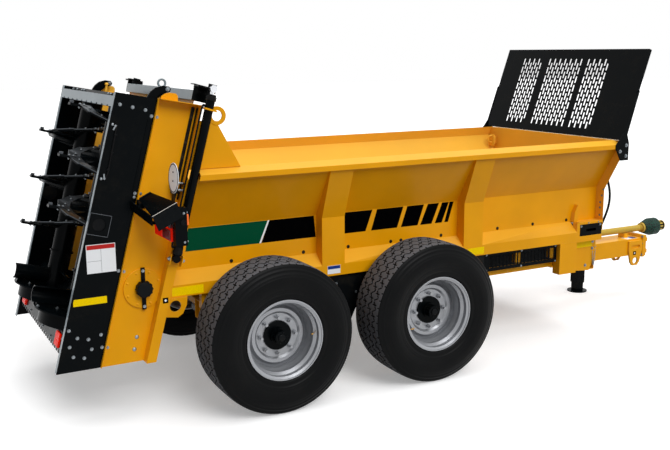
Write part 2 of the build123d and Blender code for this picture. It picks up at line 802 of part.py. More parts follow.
def door_arm():
    """The black tab that takes the rod's eye to the beam's end."""
    low = DOOR_HALF + 30
    head = ROD_TOP + 6
    x = (DOOR_OUT - 30, CYLINDER_OUT + 30)
    eye_y = CYLINDER_Y - 17
    tab = block(x, (low, eye_y - 10), (ROD_TOP - 6, ROD_TOP + 6))
    plate = block(x, (low, low + 8), (DOOR_HEAD, head))
    fork = block((CYLINDER_OUT - 30, CYLINDER_OUT + 30), (eye_y - 10, eye_y), (ROD_TOP - 30, ROD_TOP + 30))
    web = block((DOOR_OUT - 8, DOOR_OUT + 8), (DOOR_HALF - 38, low), (head - 30, head))
    flange = block((DOOR_OUT - 34, DOOR_OUT + 76), (DOOR_HALF - 38, low + 8), (head - 1, head + 5))
    return REAR * joined([plate, tab, fork, web, flange])


def door_rod():
    axis = Pos(CYLINDER_OUT, CYLINDER_Y, 0)
    foot = CYLINDER_FOOT + 40
    body = axis * Pos(0, 0, foot) * Cylinder(
        ROD_R, ROD_TOP - foot, align=(Align.CENTER, Align.CENTER, Align.MIN))
    piston = axis * Pos(0, 0, foot) * Cylinder(
        CYLINDER_BORE_R - 0.6, 40, align=(Align.CENTER, Align.CENTER, Align.MIN))
    eye = axis * Pos(0, 0, ROD_TOP) * Rot(90, 0, 0) * Cylinder(26, 34)
    return REAR * joined([body, piston, eye])


def door_cylinder():
    axis = Pos(CYLINDER_OUT, CYLINDER_Y, 0)
    foot = CYLINDER_FOOT
    shell = axis * Pos(0, 0, foot + 24) * Cylinder(
        CYLINDER_R, CYLINDER_LENGTH, align=(Align.CENTER, Align.CENTER, Align.MIN))
    shell -= axis * Pos(0, 0, foot + 36) * Cylinder(
        CYLINDER_BORE_R, CYLINDER_LENGTH - 24, align=(Align.CENTER, Align.CENTER, Align.MIN))
    shell -= axis * Pos(0, 0, foot + 1000) * Cylinder(
        ROD_R + 0.5, 200, align=(Align.CENTER, Align.CENTER, Align.MIN))
    eye = axis * Pos(0, 0, foot) * Rot(90, 0, 0) * Cylinder(28, 34)
    return REAR * joined([shell, eye])


def drive_cover():
    cover = Pos(SHAFT_REAR_X, PLATE_Y + 57, SHAFT_Z) * extrude(Plane.XZ * Circle(55), amount=45)
    upper = Pos(SHAFT_REAR_X, 0, SHAFT_Z) * block((-14, 14), (PLATE_Y + 12, PLATE_Y + 24), (50, 150))
    lower = Pos(SHAFT_REAR_X, 0, SHAFT_Z) * block((-14, 14), (PLATE_Y + 12, PLATE_Y + 24), (-150, -50))
    return joined([cover, upper, lower])


def conveyor():
    """Two chain loops with slats across them."""
    pieces = []
    middle = (SHAFT_REAR_X + SHAFT_FRONT_X) / 2
    length = SHAFT_FRONT_X - SHAFT_REAR_X
    half = CHAIN_THICK / 2
    for y in (-CHAIN_Y, CHAIN_Y):
        outer = SlotCenterToCenter(length, 2 * (CHAIN_R + half))
        inner = SlotCenterToCenter(length, 2 * (CHAIN_R - half))
        loop = extrude(Plane.XZ * (outer - inner), amount=CHAIN_WIDTH)
        pieces.append(Pos(middle, y + CHAIN_WIDTH / 2, SHAFT_Z) * loop)
    count = int(length / SLAT_PITCH)
    for index in range(count + 1):
        x = SHAFT_REAR_X + index * SLAT_PITCH
        for way in (-1, 1):
            z = sorted(SHAFT_Z + way * (CHAIN_R - half + rise) for rise in (0, SLAT_HEIGHT))
            pieces.append(block((x, x + SLAT_DEPTH), (-SLAT_HALF, SLAT_HALF), z))
    return joined(pieces)


def conveyor_shaft(x, half):
    shaft = rod((x, -half, SHAFT_Z), (x, half, SHAFT_Z), SHAFT_R)
    for y in (-CHAIN_Y, CHAIN_Y):
        shaft += rod((x, y - 9, SHAFT_Z), (x, y + 9, SHAFT_Z), SPROCKET_R - 0.5)
    return shaft


def drive_line():
    rear = rear_point(GEAR_FRONT + 45.3, 0, 225)
    knee = (-880, 0, PTO_Z)
    main = rod((BODY_FRONT - 60, 0, PTO_Z), knee, 27)
    lower = rod(knee, rear, 27)
    knots = [Pos(*knee) * Sphere(50), Pos(*rear) * Sphere(45)]
    return joined([main, lower] + knots)


def axle(x):
    half = WHEEL_TRACK / 2 - 60
    z = AXLE_Z
    size = AXLE_SIZE / 2
    beam = tube_box((x - size, x + size), (-half + 120, half - 120), (z - size, z + size), 12, "y")
    for side in (-1, 1):
        stub_end = side * (WHEEL_TRACK / 2 + 20)
        beam += rod((x, side * (half - 125), z), (x, stub_end, z), STUB_R)
    return beam


def spring_set(x_axles):
    """Leaf springs over both axles, their hangers and the rocker between them."""
    rail = CHASSIS_Y - CHASSIS_WIDTH
    y = (rail - 80, rail - 10)
    top = AXLE_Z + AXLE_SIZE / 2
    pieces = []
    for x in x_axles:
        for leaf in range(4):
            half = 420 - leaf * 80
            z = top + 56 - leaf * 14
            pieces.append(block((x - half, x + half), y, (z, z + 14)))
        pieces.append(block((x - 70, x + 70), y, (top, top + 14)))
    head = CHASSIS_FOOT_Z + CHASSIS_HEIGHT
    for x in (-AXLE_GAP / 2 - 400, 0, AXLE_GAP / 2 + 400):
        pieces.append(block((x - 50, x + 50), (y[0], rail), (top + 69, head - 60)))
    return joined(pieces)


def tyre(x, y):
    r = TYRE_R
    half = TYRE_WIDTH / 2
    profile = [
        (RIM_BARREL_R + 0.4, RIM_WIDTH / 2 - 17),
        (RIM_FLANGE_R + 0.6, RIM_WIDTH / 2 - 8.6),
        (RIM_FLANGE_R + 0.6, RIM_WIDTH / 2 - 1),
        (RIM_FLANGE_R + 20, half - 14),
        (400, half - 2),
        (450, half),
        (505, half - 12),
        (r - 18, half - 40),
        (r - 4, half - 52),
        (r, half - 120),
        (r, 0),
        (r - 34, 0),
        (r - 40, half - 72),
        (450, half - 22),
        (380, half - 22),
        (RIM_BARREL_R + 0.4, RIM_WIDTH / 2 - 46),
    ]
    points = [(radius, 0, across) for radius, across in profile]
    side = revolve(make_face(Polyline(*points, close=True)), Axis.Z)
    whole = side + mirror(side, about=Plane.XY)
    return Pos(x, y, AXLE_Z) * Rot(90, 0, 0) * whole


def rim(x, y, outward):
    """A rim with its wheel disc; the disc is set in from the outer edge."""
    half = RIM_WIDTH / 2
    f = RIM_FLANGE_R
    b = RIM_BARREL_R
    w = RIM_WELL_R
    barrel = [
        (f, -half), (f, -half + 8), (b, -half + 16), (b, -half + 60), (w, -half + 90),
        (w, half - 130), (w + 14, half - 100), (w + 14, half - 70), (b, half - 50), (b, half - 16),
        (f, half - 8), (f, half),
    ]
    inner = [(radius - RIM_SHEET, across) for radius, across in reversed(barrel)]
    points = [(radius, 0, across) for radius, across in barrel + inner]
    shape = revolve(make_face(Polyline(*points, close=True)), Axis.Z)
    face = DISC_OFFSET
    t = DISC_THICK
    disc = [
        (HUB_BORE_R, face - t), (HUB_BORE_R, face), (165, face), (180, face + 14), (205, face + 14),
        (225, face - 6), (w - 4, face - 14), (w - 4, face - 14 - t), (220, face - 6 - t),
        (200, face + 2), (184, face + 2), (168, face - t),
    ]
    points = [(radius, 0, across) for radius, across in disc]
    shape += revolve(make_face(Polyline(*points, close=True)), Axis.Z)
    for index in range(STUD_COUNT):
        stud = Pos(STUD_CIRCLE_R, 0, face) * Cylinder(
            STUD_R, STUD_LENGTH, align=(Align.CENTER, Align.CENTER, Align.MIN))
        nut = Pos(STUD_CIRCLE_R, 0, face) * extrude(RegularPolygon(17, 6), amount=20)
        shape += Rot(0, 0, index * 360 / STUD_COUNT) * (stud + nut)
    return Pos(x, y, AXLE_Z) * Rot(-90 * outward, 0, 0) * shape


def hub(x, y, outward):
    face = DISC_OFFSET
    body = Pos(0, 0, face - 70) * Cylinder(
        HUB_BORE_R - 0.5, 84, align=(Align.CENTER, Align.CENTER, Align.MIN))
    body += Pos(0, 0, face + 14) * Cylinder(
        HUB_CAP_R + 12, 16, align=(Align.CENTER, Align.CENTER, Align.MIN))
    body += Pos(0, 0, face + 14) * Cylinder(
        HUB_CAP_R, HUB_CAP_LENGTH, align=(Align.CENTER, Align.CENTER, Align.MIN))
    body += Pos(0, 0, face - DISC_THICK - 18.3) * Cylinder(
        158, 18, align=(Align.CENTER, Align.CENTER, Align.MIN))
    body -= Pos(0, 0, face - 80) * Cylinder(
        STUB_R + BEARING_GAP, 84, align=(Align.CENTER, Align.CENTER, Align.MIN))
    return Pos(x, y, AXLE_Z) * Rot(-90 * outward, 0, 0) * body


def drawbar():
    """The box beam, its two neck plates under the body, and its tie lugs."""
    sheet = DRAWBAR_SHEET
    half = DRAWBAR_HALF
    z = (DRAWBAR_FOOT_Z, DRAWBAR_HEAD_Z)
    pieces = [tube_box((BODY_FRONT, DRAWBAR_FRONT), (-half, half), z, sheet, "x")]
    neck = [
        (BODY_FRONT, DRAWBAR_FOOT_Z),
        (NECK_FRONT, DRAWBAR_FOOT_Z),
        (NECK_FRONT + 60, DRAWBAR_HEAD_Z),
        (NECK_FRONT, NECK_HEAD_Z),
        (BODY_FRONT, NECK_HEAD_Z),
    ]
    for side in (-1, 1):
        span = sorted((side * half, side * (half + sheet)))
        pieces.append(along_y(neck, *span))
        pieces.append(along_y(*tie_lug(side)))
    flange_z = (z[0] - 30, z[1] + 30)
    pieces.append(block((DRAWBAR_FRONT, DRAWBAR_FRONT + 30), (-half - 20, half + 20), flange_z))
    bar = joined(pieces)
    y = half + 30
    bore = extrude(Plane.XZ * Circle(TIE_BORE_R), amount=2 * y)
    slot = extrude(Plane.XZ * SlotOverall(130, 40), amount=18)
    bar -= Pos(TIE_X, y, TIE_Z) * bore
    for side in (-1, 1):
        face = half + sheet + 10 if side > 0 else -half - sheet + 8
        bar -= Pos(TIE_X, face, 535) * slot
    span = (DRAWBAR_FRONT - 180, DRAWBAR_FRONT - 130)
    cradle = block(span, (-45, 45), (DRAWBAR_HEAD_Z, PTO_Z - PTO_R - 0.4))
    return bar + cradle


def tie_lug(side):
    """The outline of a drawbar side lug, and the span it fills."""
    shape = [
        (TIE_X - 100, 600),
        (TIE_X + 95, 600),
        (TIE_X + 95, 500),
        (TIE_X + 60, 370),
        (TIE_X + 30, 335),
        (TIE_X - 40, 335),
        (TIE_X - 70, 370),
        (TIE_X - 100, 500),
    ]
    half = DRAWBAR_HALF
    return [shape] + sorted((side * half, side * (half + 20)))


def hitch_head():
    start = DRAWBAR_FRONT + 30
    reach = HITCH_FRONT - 60 - start - 30
    plate = block((start, start + 30), (-130, 130), (DRAWBAR_FOOT_Z - 25, DRAWBAR_HEAD_Z + 25))
    head = plate
    for z in ((555, 590), (430, 465)):
        tongue = Circle(60) + Pos(-reach / 2, 0) * Rectangle(reach, 120)
        lug = Pos(HITCH_FRONT - 60, 0, z[0]) * extrude(tongue, amount=z[1] - z[0])
        lug -= Pos(HITCH_FRONT - 60, 0, z[0] - 1) * extrude(Circle(HITCH_BORE_R), amount=z[1] - z[0] + 2)
        head += lug
    return head


def jack_sleeve():
    """The square sleeve on the drawbar that the jack slides up in."""
    half = JACK_TUBE / 2 + JACK_GAP + JACK_WALL
    x = (JACK_X - half, JACK_X + half)
    y = (JACK_Y - half, JACK_Y + half)
    sleeve = tube_box(x, y, JACK_SLEEVE_Z, JACK_WALL, "z")
    arm = block((JACK_X - 50, JACK_X + 50), (DRAWBAR_HALF, JACK_Y - half), (470, 600))
    return sleeve + arm


def jack_tube():
    half = JACK_TUBE / 2
    x = (JACK_X - half, JACK_X + half)
    y = (JACK_Y - half, JACK_Y + half)
    tube = tube_box(x, y, (JACK_TUBE_FOOT, JACK_TUBE_HEAD), JACK_WALL, "z")
    head = block(x, y, (JACK_TUBE_HEAD, JACK_TUBE_HEAD + 12))
    z = JACK_TUBE_HEAD - 40
    handle = rod((JACK_X, JACK_Y + half, z), (JACK_X, JACK_Y + half + 70, z), 14)
    return joined([tube, head, handle])


def jack_leg():
    half = JACK_TUBE / 2 - JACK_WALL - JACK_GAP
    leg = tube_box(
        (JACK_X - half, JACK_X + half), (JACK_Y - half, JACK_Y + half), (12, 460), 6, "z")
    foot = Pos(JACK_X, JACK_Y, 0) * Cylinder(
        JACK_FOOT_R, 12, align=(Align.CENTER, Align.CENTER, Align.MIN))
    return leg + foot


def pto_guard():
    guard = rod((PTO_REAR, 0, PTO_Z), (PTO_FRONT, 0, PTO_Z), PTO_R)
    return guard - rod((PTO_FRONT - 100, 0, PTO_Z), (PTO_FRONT + 1, 0, PTO_Z), PTO_SHAFT_R + 0.5)


def pto_cone():
    """The open guard round the front joint of the shaft."""
    x = PTO_FRONT - 20
    profile = [
        (PTO_R + 0.4, x), (60, x), (92, x + 90), (92, x + 180),
        (87, x + 180), (87, x + 92), (56, x + 6), (PTO_R + 0.4, x + 6),
    ]
    points = [(along, 0, radius) for radius, along in profile]
    cone = revolve(make_face(Polyline(*points, close=True)), Axis.X)
    return Pos(0, 0, PTO_Z) * cone


def pto_yoke():
    """The tractor end of the shaft: cross joint and splined yoke in a cup."""
    yoke = rod((PTO_FRONT - 94, 0, 0), (PTO_END - 90, 0, 0), PTO_SHAFT_R)
    yoke += rod((PTO_END - 120, 0, 0), (PTO_END, 0, 0), 52)
    yoke -= rod((PTO_END - 70, 0, 0), (PTO_END + 1, 0, 0), PTO_BORE_R)
    return Pos(0, 0, PTO_Z) * yoke


def screen_panel():
    half = SCREEN_HALF
    panel = block((0, SCREEN_THICK), (-half, half), (0, SCREEN_HEIGHT))
    for y in (-half, half - SCREEN_THICK):
        panel += block((0, SCREEN_LIP), (y, y + SCREEN_THICK), (0, SCREEN_HEIGHT))
    panel += block((0, SCREEN_LIP), (-half, half), (SCREEN_HEIGHT - SCREEN_THICK, SCREEN_HEIGHT))
    panel += block((0, SCREEN_LIP), (-half, half), (0, SCREEN_THICK))
    fields = ((0.15, 8), (0.35, 13), (0.63, 8))
    cuts = []
    for start, columns in fields:
        left = half - 2 * half * start
        for column in range(columns):
            y = left - column * SLOT_PITCH
            low = 70 + (column % 2) * SLOT_ROW / 2
            count = int((SCREEN_HEIGHT - 60 - low) / SLOT_ROW)
            for row in range(count):
                z = low + row * SLOT_ROW
                cuts.append(block((-1, SCREEN_THICK + 1), (y - SLOT_WIDTH, y), (z, z + SLOT_LENGTH)))
    panel -= cuts
    return Location((SCREEN_X, 0, SCREEN_Z), (0, SCREEN_TILT, 0)) * panel


def screen_arm():
    """The side arm that carries the screen, bolted outside the rail's front end."""
    lean = math.radians(SCREEN_TILT)
    foot_x = SCREEN_X - 10
    head = []
    for out, up in ((-6, 60), (-6, 430), (SCREEN_LIP, 470), (SCREEN_LIP + 12, 60)):
        x = SCREEN_X + out * math.cos(lean) + up * math.sin(lean)
        head.append((x, SCREEN_Z - out * math.sin(lean) + up * math.cos(lean)))
    shape = [(foot_x, 1615), (foot_x - 60, RAIL_FOOT_Z + 2), (foot_x - 60, RAIL_EDGE_Z - 2)]
    shape += head + [(foot_x + 96, 1770), (foot_x + 96, 1615)]
    return along_y(shape, SCREEN_HALF + 0.3, SCREEN_HALF + 9)


def hose(route, radius, bends):
    path = FilletPolyline(*route, radius=bends)
    start = path % 0
    return sweep(Plane(route[0], z_dir=start) * Circle(radius), path=path)


def front_hose():
    x = BODY_FRONT
    route = [(x + 17.3, 780, 1640), (x + 20, 782, 1500), (x + 115, 780, 1250), (x + 90, 720, 1000)]
    return hose(route + [(x + 11.3, 650, 770)], 11, 60)


def parts():
    nodes = {}
    sides = {"left": 1, "right": -1}
    split = {
        "side_wall": side_wall(),
        "front_column": front_column(),
        "rear_post": rear_post(),
        "housing_plate": housing_plate(),
        "leaf_springs": spring_set((-AXLE_GAP / 2, AXLE_GAP / 2)),
    }
    shared = {
        "front_trays": front_tray(),
        "mesh_guards": mesh_guard(),
        "rail_gussets": gusset_plate(),
        "door_arms": door_arm(),
        "door_rods": door_rod(),
        "door_cylinders": door_cylinder(),
        "drive_covers": drive_cover(),
        "lamp_guards": lamp_guard(),
        "screen_arms": screen_arm(),
    }
    for name, piece in split.items():
        nodes[name + "_left"] = piece
        nodes[name + "_right"] = mirrored(piece)
    for name, piece in shared.items():
        nodes[name] = joined([piece, mirrored(piece)])
    nodes["front_wall"] = front_wall()
    nodes["load_floor"] = load_floor()
    nodes["chassis_frame"] = chassis_frame()
    nodes["housing_trim"] = housing_trim()
    nodes["housing_roof"] = housing_roof()
    nodes["beater_gears"] = beater_gears()
    nodes["lamp_board"] = lamp_board()
    nodes["tail_lamps"] = tail_lamps()
    nodes["door_panel"] = door_panel()
    nodes["door_beam"] = door_beam()
    nodes["floor_conveyor"] = conveyor()
    nodes["conveyor_shaft_rear"] = conveyor_shaft(SHAFT_REAR_X, PLATE_Y - PLATE_THICK - 0.3)
    nodes["conveyor_shaft_front"] = conveyor_shaft(SHAFT_FRONT_X, WALL_Y + 0.7)
    nodes["drive_line"] = drive_line()
    nodes["drawbar"] = drawbar()
    nodes["hitch_head"] = hitch_head()
    nodes["jack_sleeve"] = jack_sleeve()
    nodes["jack_tube"] = jack_tube()
    nodes["jack_leg"] = jack_leg()
    nodes["pto_guard"] = pto_guard()
    nodes["pto_cone"] = pto_cone()
    nodes["pto_yoke"] = pto_yoke()
    nodes["screen_panel"] = screen_panel()
    nodes["front_hoses"] = mirrored(front_hose())
    axles = {"rear": -AXLE_GAP / 2, "front": AXLE_GAP / 2}
    for end, x in axles.items():
        nodes["axle_" + end] = axle(x)
    for side, sign in sides.items():
        nodes["beater_" + side] = beater(sign)
        for end, x in axles.items():
            y = sign * WHEEL_TRACK / 2
            name = "_" + end + "_" + side
            nodes["tyre" + name] = tyre(x, y)
            nodes["rim" + name] = rim(x, y, sign)
            nodes["hub" + name] = hub(x, y, sign)
    return nodes


def main():
    nodes = parts()
    low = min(shape.bounding_box().min.X for shape in nodes.values())
    high = max(shape.bounding_box().max.X for shape in nodes.values())
    shift = -(low + high) / 2
    print("nodes", len(nodes), "shift", round(shift, 3))
    os.makedirs("parts", exist_ok=True)
    for name, shape in nodes.items():
        export_step(Pos(shift, 0, 0) * shape, "parts/" + name + ".step")


main()
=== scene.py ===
import math

import bmesh
import bpy
from mathutils import Matrix, Vector


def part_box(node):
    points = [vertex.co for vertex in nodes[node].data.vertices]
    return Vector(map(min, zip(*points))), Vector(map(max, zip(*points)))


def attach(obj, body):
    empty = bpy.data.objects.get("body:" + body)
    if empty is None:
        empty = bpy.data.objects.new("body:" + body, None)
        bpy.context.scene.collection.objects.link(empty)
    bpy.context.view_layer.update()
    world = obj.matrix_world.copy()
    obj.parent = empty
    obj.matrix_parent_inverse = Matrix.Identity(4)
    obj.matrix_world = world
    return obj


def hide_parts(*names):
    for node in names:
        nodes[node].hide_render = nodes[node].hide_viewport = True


# The looks of a rear-discharge manure spreader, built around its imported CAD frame.
# Places are in metres, measured as part.py measures them: X from the middle of
# the tandem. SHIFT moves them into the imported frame.

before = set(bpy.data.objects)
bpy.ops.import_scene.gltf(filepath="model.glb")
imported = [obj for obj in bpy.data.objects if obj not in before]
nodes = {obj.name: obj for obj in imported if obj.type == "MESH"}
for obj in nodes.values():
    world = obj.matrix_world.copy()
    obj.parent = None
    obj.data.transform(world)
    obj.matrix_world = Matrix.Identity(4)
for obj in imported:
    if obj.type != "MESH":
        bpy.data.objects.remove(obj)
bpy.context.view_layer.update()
SHIFT = (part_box("axle_rear")[0].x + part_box("axle_front")[1].x) / 2

# Values shared with part.py
TILT = math.radians(15.04)
REAR_X = -2.199
REAR_Z = 0.446
PLATE_Y = 0.817
WALL_Y = 0.7
SKIRT_Y = 0.8
COLUMN_Y = 0.721
SHIELD_Y = 0.7582
BODY_FRONT = 2.81
AXLE_X = 0.667
WHEEL_Y = 1.05
AXLE_Z = 0.562
TYRE_R = 0.562
BEATER_Y = 0.4
BEATER_OUT = 0.165
CONVEYOR_X = -1.572
CONVEYOR_Z = 0.975
DRIVE_Z = 0.7
JACK_X = 3.6

SIDES = {"right": -1, "left": 1}
AXLES = {"rear": -AXLE_X, "front": AXLE_X}


# Materials


BLACK = (0, 0, 0, 1)
WHITE = (1, 1, 1, 1)


def linear(red, green, blue):
    """An 8-bit sRGB colour as linear numbers."""
    result = []
    for value in (red, green, blue):
        share = value / 255
        if share <= 0.04045:
            result.append(share / 12.92)
        else:
            result.append(((share + 0.055) / 1.055) ** 2.4)
    return (*result, 1.0)


def scaled(colour, factor):
    return (*(min(1, channel * factor) for channel in colour[:3]), 1)


def fill(tree, node, inputs):
    """Gives each of the node's inputs a number, a colour or a link."""
    for key, value in inputs.items():
        if isinstance(value, bpy.types.NodeSocket):
            tree.links.new(value, node.inputs[key])
        else:
            node.inputs[key].default_value = value


def add_node(tree, kind, inputs=None, **settings):
    made = tree.nodes.new(kind)
    for key, value in settings.items():
        setattr(made, key, value)
    fill(tree, made, inputs or {})
    return made


class Shader:
    """A material's node tree. Its steps take and return sockets."""

    def __init__(self, name):
        self.material = bpy.data.materials.new(name)
        self.material.use_nodes = True
        self.tree = self.material.node_tree
        self.tree.nodes.clear()
        self.main = self.node("ShaderNodeBsdfPrincipled")
        self.output = self.node(
            "ShaderNodeOutputMaterial", {"Surface": self.main.outputs["BSDF"]})
        self.place = self.node("ShaderNodeTexCoord")

    def node(self, kind, inputs=None, **settings):
        return add_node(self.tree, kind, inputs, **settings)

    def math(self, operation, one, other=0.0):
        return self.node(
            "ShaderNodeMath", {0: one, 1: other}, operation=operation).outputs["Value"]

    def split(self, vector):
        return self.node("ShaderNodeSeparateXYZ", {"Vector": vector}).outputs

    def noise(self, scale, detail=4.0, roughness=0.55, stretch=(1, 1, 1)):
        mapping = self.node(
            "ShaderNodeMapping", {"Vector": self.place.outputs["Object"], "Scale": stretch})
        return self.node("ShaderNodeTexNoise", {
            "Vector": mapping.outputs["Vector"], "Scale": scale, "Detail": detail,
            "Roughness": roughness}).outputs["Fac"]

    def cells(self, scale, feature):
        """The distance inside the cells of a Voronoi pattern."""
        return self.node("ShaderNodeTexVoronoi", {
            "Vector": self.place.outputs["Object"], "Scale": scale},
            feature=feature).outputs["Distance"]

    def rings(self, scale):
        """Uneven rings about the axle, the same on every wheel."""
        where = self.split(self.node("ShaderNodeNewGeometry").outputs["Position"])
        along = self.math("ABSOLUTE", self.math("SUBTRACT", where["X"], SHIFT))
        flat = self.node("ShaderNodeCombineXYZ", {
            "X": self.math("SUBTRACT", along, AXLE_X),
            "Y": self.math("SUBTRACT", where["Z"], AXLE_Z)})
        length = self.node(
            "ShaderNodeVectorMath", {0: flat.outputs["Vector"]}, operation="LENGTH")
        return self.node(
            "ShaderNodeTexNoise", {"W": length.outputs["Value"], "Scale": scale, "Detail": 2.0},
            noise_dimensions="1D").outputs["Fac"]

    def ramp(self, source, stops):
        made = self.node("ShaderNodeValToRGB", {"Fac": source})
        while len(made.color_ramp.elements) < len(stops):
            made.color_ramp.elements.new(0.5)
        for element, (position, colour) in zip(made.color_ramp.elements, stops):
            element.position = position
            element.color = colour
        return made.outputs["Color"]

    def mix(self, factor, one, two):
        """Two colours, each a socket or a plain colour, mixed by a factor."""
        return self.node(
            "ShaderNodeMix", {0: factor, 6: one, 7: two}, data_type="RGBA").outputs[2]

    def stain(self, tone, cloud, low, high, most, colour):
        """The tone with a colour laid over it, more and more from low to high."""
        mask = self.ramp(cloud, ((low, BLACK), (high, (most, most, most, 1))))
        return self.mix(mask, tone, colour)

    def facing_up(self, most):
        """Grows as the surface turns up, where pale dust settles and a painted sheen of light
        lies.
        """
        return self.node("ShaderNodeMapRange", {
            "Value": self.split(self.place.outputs["Normal"])["Z"],
            "From Min": 0.2, "To Max": most}).outputs["Result"]

    def facing_in(self, most):
        """At its most where the surface looks into the hopper."""
        ways = self.split(self.place.outputs["Normal"])
        where = self.split(self.node("ShaderNodeNewGeometry").outputs["Position"])
        inward = [
            self.math("LESS_THAN", self.math("MULTIPLY", ways[axis], where[axis]), limit)
            for axis, limit in (("Y", -0.3), ("X", -1.3))]
        return self.math("MULTIPLY", self.math("MAXIMUM", *inward), most)

    def bump(self, height, strength, distance):
        return self.node("ShaderNodeBump", {
            "Height": height, "Strength": strength, "Distance": distance}).outputs["Normal"]

    def between(self, source, low, high):
        return self.node("ShaderNodeMapRange", {
            "Value": source, "To Min": low, "To Max": high}).outputs["Result"]

    def finished(self, colour, rough, normal, metallic=0.0, coat=0.0, coat_rough=0.03,
                 shine=0.5, glow=None):
        """The material, once its main shader has all of its inputs."""
        inputs = {
            "Base Color": colour, "Roughness": rough, "Normal": normal, "Metallic": metallic,
            "Coat Weight": coat, "Coat Roughness": coat_rough, "Specular IOR Level": shine}
        if glow:
            inputs["Emission Color"], inputs["Emission Strength"] = glow
        fill(self.tree, self.main, inputs)
        return self.material


DRY_DUNG = linear(176, 160, 132)
# a pale tint for settled dust, which also serves as a painted sheen of light
PALE_DUST_AND_SHEEN = linear(252, 226, 112)
CHIPPED = linear(96, 84, 70)
RUST = linear(104, 78, 58)
ROAD_DIRT = linear(94, 88, 82)
FINE_DUST = linear(150, 140, 120)


def paint(name, base, rough, coat, dust, fade=0.06, metallic=0.0, shine=0.25, dust_and_sheen=0.0):
    """Sprayed enamel: a slow drift of tone, dust in patches, fine orange peel."""
    shader = Shader(name)
    drift = shader.noise(1.7, 3.0)
    tone = shader.ramp(drift, ((0.35, scaled(base, 1 - fade)), (0.65, scaled(base, 1 + fade))))
    patch = shader.noise(6.5, 7.0, 0.66)
    tone = shader.stain(tone, patch, 0.52, 0.78, dust, DRY_DUNG)
    tone = shader.stain(tone, shader.noise(95, 2.0, 0.5), 0.74, 0.8, dust, CHIPPED)
    # Faces that turn up and faces that look into the hopper are tinted pale: partly settled dust,
    # partly a painted sheen of light; on the upright faces in the hopper it is painted sheen
    # only.
    if dust_and_sheen:
        sheen_and_dust_share = shader.math("MAXIMUM", shader.facing_up(dust_and_sheen), shader.facing_in(dust_and_sheen * 1.3))
        tone = shader.mix(sheen_and_dust_share, tone, PALE_DUST_AND_SHEEN)
    return shader.finished(
        tone, shader.between(patch, rough * 0.75, min(1, rough * 1.4)),
        shader.bump(shader.noise(420, 2.0, 0.5), 0.05, 0.002), metallic, coat, 0.12, shine)


def metal(name, base, rough, streak=(1, 1, 1), wear=0.25):
    """Brushed metal with a little rust where it is worn."""
    shader = Shader(name)
    brushed = shader.noise(60, 5.0, 0.7, streak)
    tone = shader.ramp(brushed, ((0.3, scaled(base, 1 - wear)), (0.7, base)))
    return shader.finished(
        shader.stain(tone, shader.noise(9, 8.0, 0.7), 0.6, 0.8, wear, RUST),
        shader.between(brushed, rough * 0.8, rough * 1.3), shader.bump(brushed, 0.12, 0.001), 0.9)


def rubber(name, base, rough, dust, grain=240, shine=0.05, ringed=False):
    """Dusty rubber, with a fine grain or with moulded rings about the axle."""
    shader = Shader(name)
    cloud = shader.noise(5, 6.0, 0.65)
    if ringed:
        bump = shader.bump(shader.rings(70), 0.5, 0.004)
    else:
        bump = shader.bump(shader.noise(grain, 3.0, 0.6), 0.15, 0.002)
    return shader.finished(
        shader.stain(base, cloud, 0.45, 0.75, dust, ROAD_DIRT),
        shader.between(cloud, rough * 0.85, min(1, rough * 1.15)), bump, shine=shine)


def plastic(name, base, rough, dust=0.15, glow=0.0, clear=0.0, shine=0.3):
    shader = Shader(name)
    cloud = shader.noise(30)
    return shader.finished(
        shader.stain(base, cloud, 0.5, 0.8, dust, FINE_DUST),
        shader.between(cloud, rough * 0.8, rough * 1.2),
        shader.bump(shader.noise(600, 2.0), 0.04, 0.001), coat=clear, coat_rough=0.05,
        shine=shine, glow=glow and (base, glow))


def moulded_net(name, base, gap):
    """A guard of moulded plastic net: raised webs with dark gaps between them, the gaps painted
    dark as the shade seen through the holes.
    """
    shader = Shader(name)
    cells = shader.cells(44, "DISTANCE_TO_EDGE")
    tone = shader.ramp(cells, ((0.07, base), (0.17, gap)))
    web = shader.ramp(cells, ((0.07, WHITE), (0.17, BLACK)))
    cloud = shader.noise(14, 5.0)
    return shader.finished(
        shader.stain(tone, cloud, 0.45, 0.8, 0.35, gap), shader.between(cloud, 0.45, 0.7),
        shader.bump(web, 0.5, 0.004), shine=0.2)


def reflector(name, base):
    """Prismatic marking film: small bright cells in a sheet of colour, with a painted glow of its
    own colour.
    """
    shader = Shader(name)
    cells = shader.cells(160, "F1")
    return shader.finished(
        shader.ramp(cells, ((0.0, base), (0.7, scaled(base, 0.8)))),
        shader.between(cells, 0.18, 0.34), shader.bump(cells, 0.08, 0.001),
        # the glow is painted light, brightening the film
        coat=0.02, coat_rough=0.08, shine=0.05, glow=(base, 0.09))


# the yellow's last number tints upward and inward faces pale: settled dust and a painted sheen of
# light
YELLOW = paint("yellow_enamel", linear(238, 164, 6), 0.34, 0.05, 0.02, shine=0.12, dust_and_sheen=0.22)
GLOSS_BLACK = paint("black_enamel", linear(4, 7, 9), 0.24, 0.02, 0.01, fade=0.12, shine=0.03)
SATIN_BLACK = paint("satin_black", linear(6, 8, 10), 0.42, 0.0, 0.03, fade=0.12, shine=0.08)
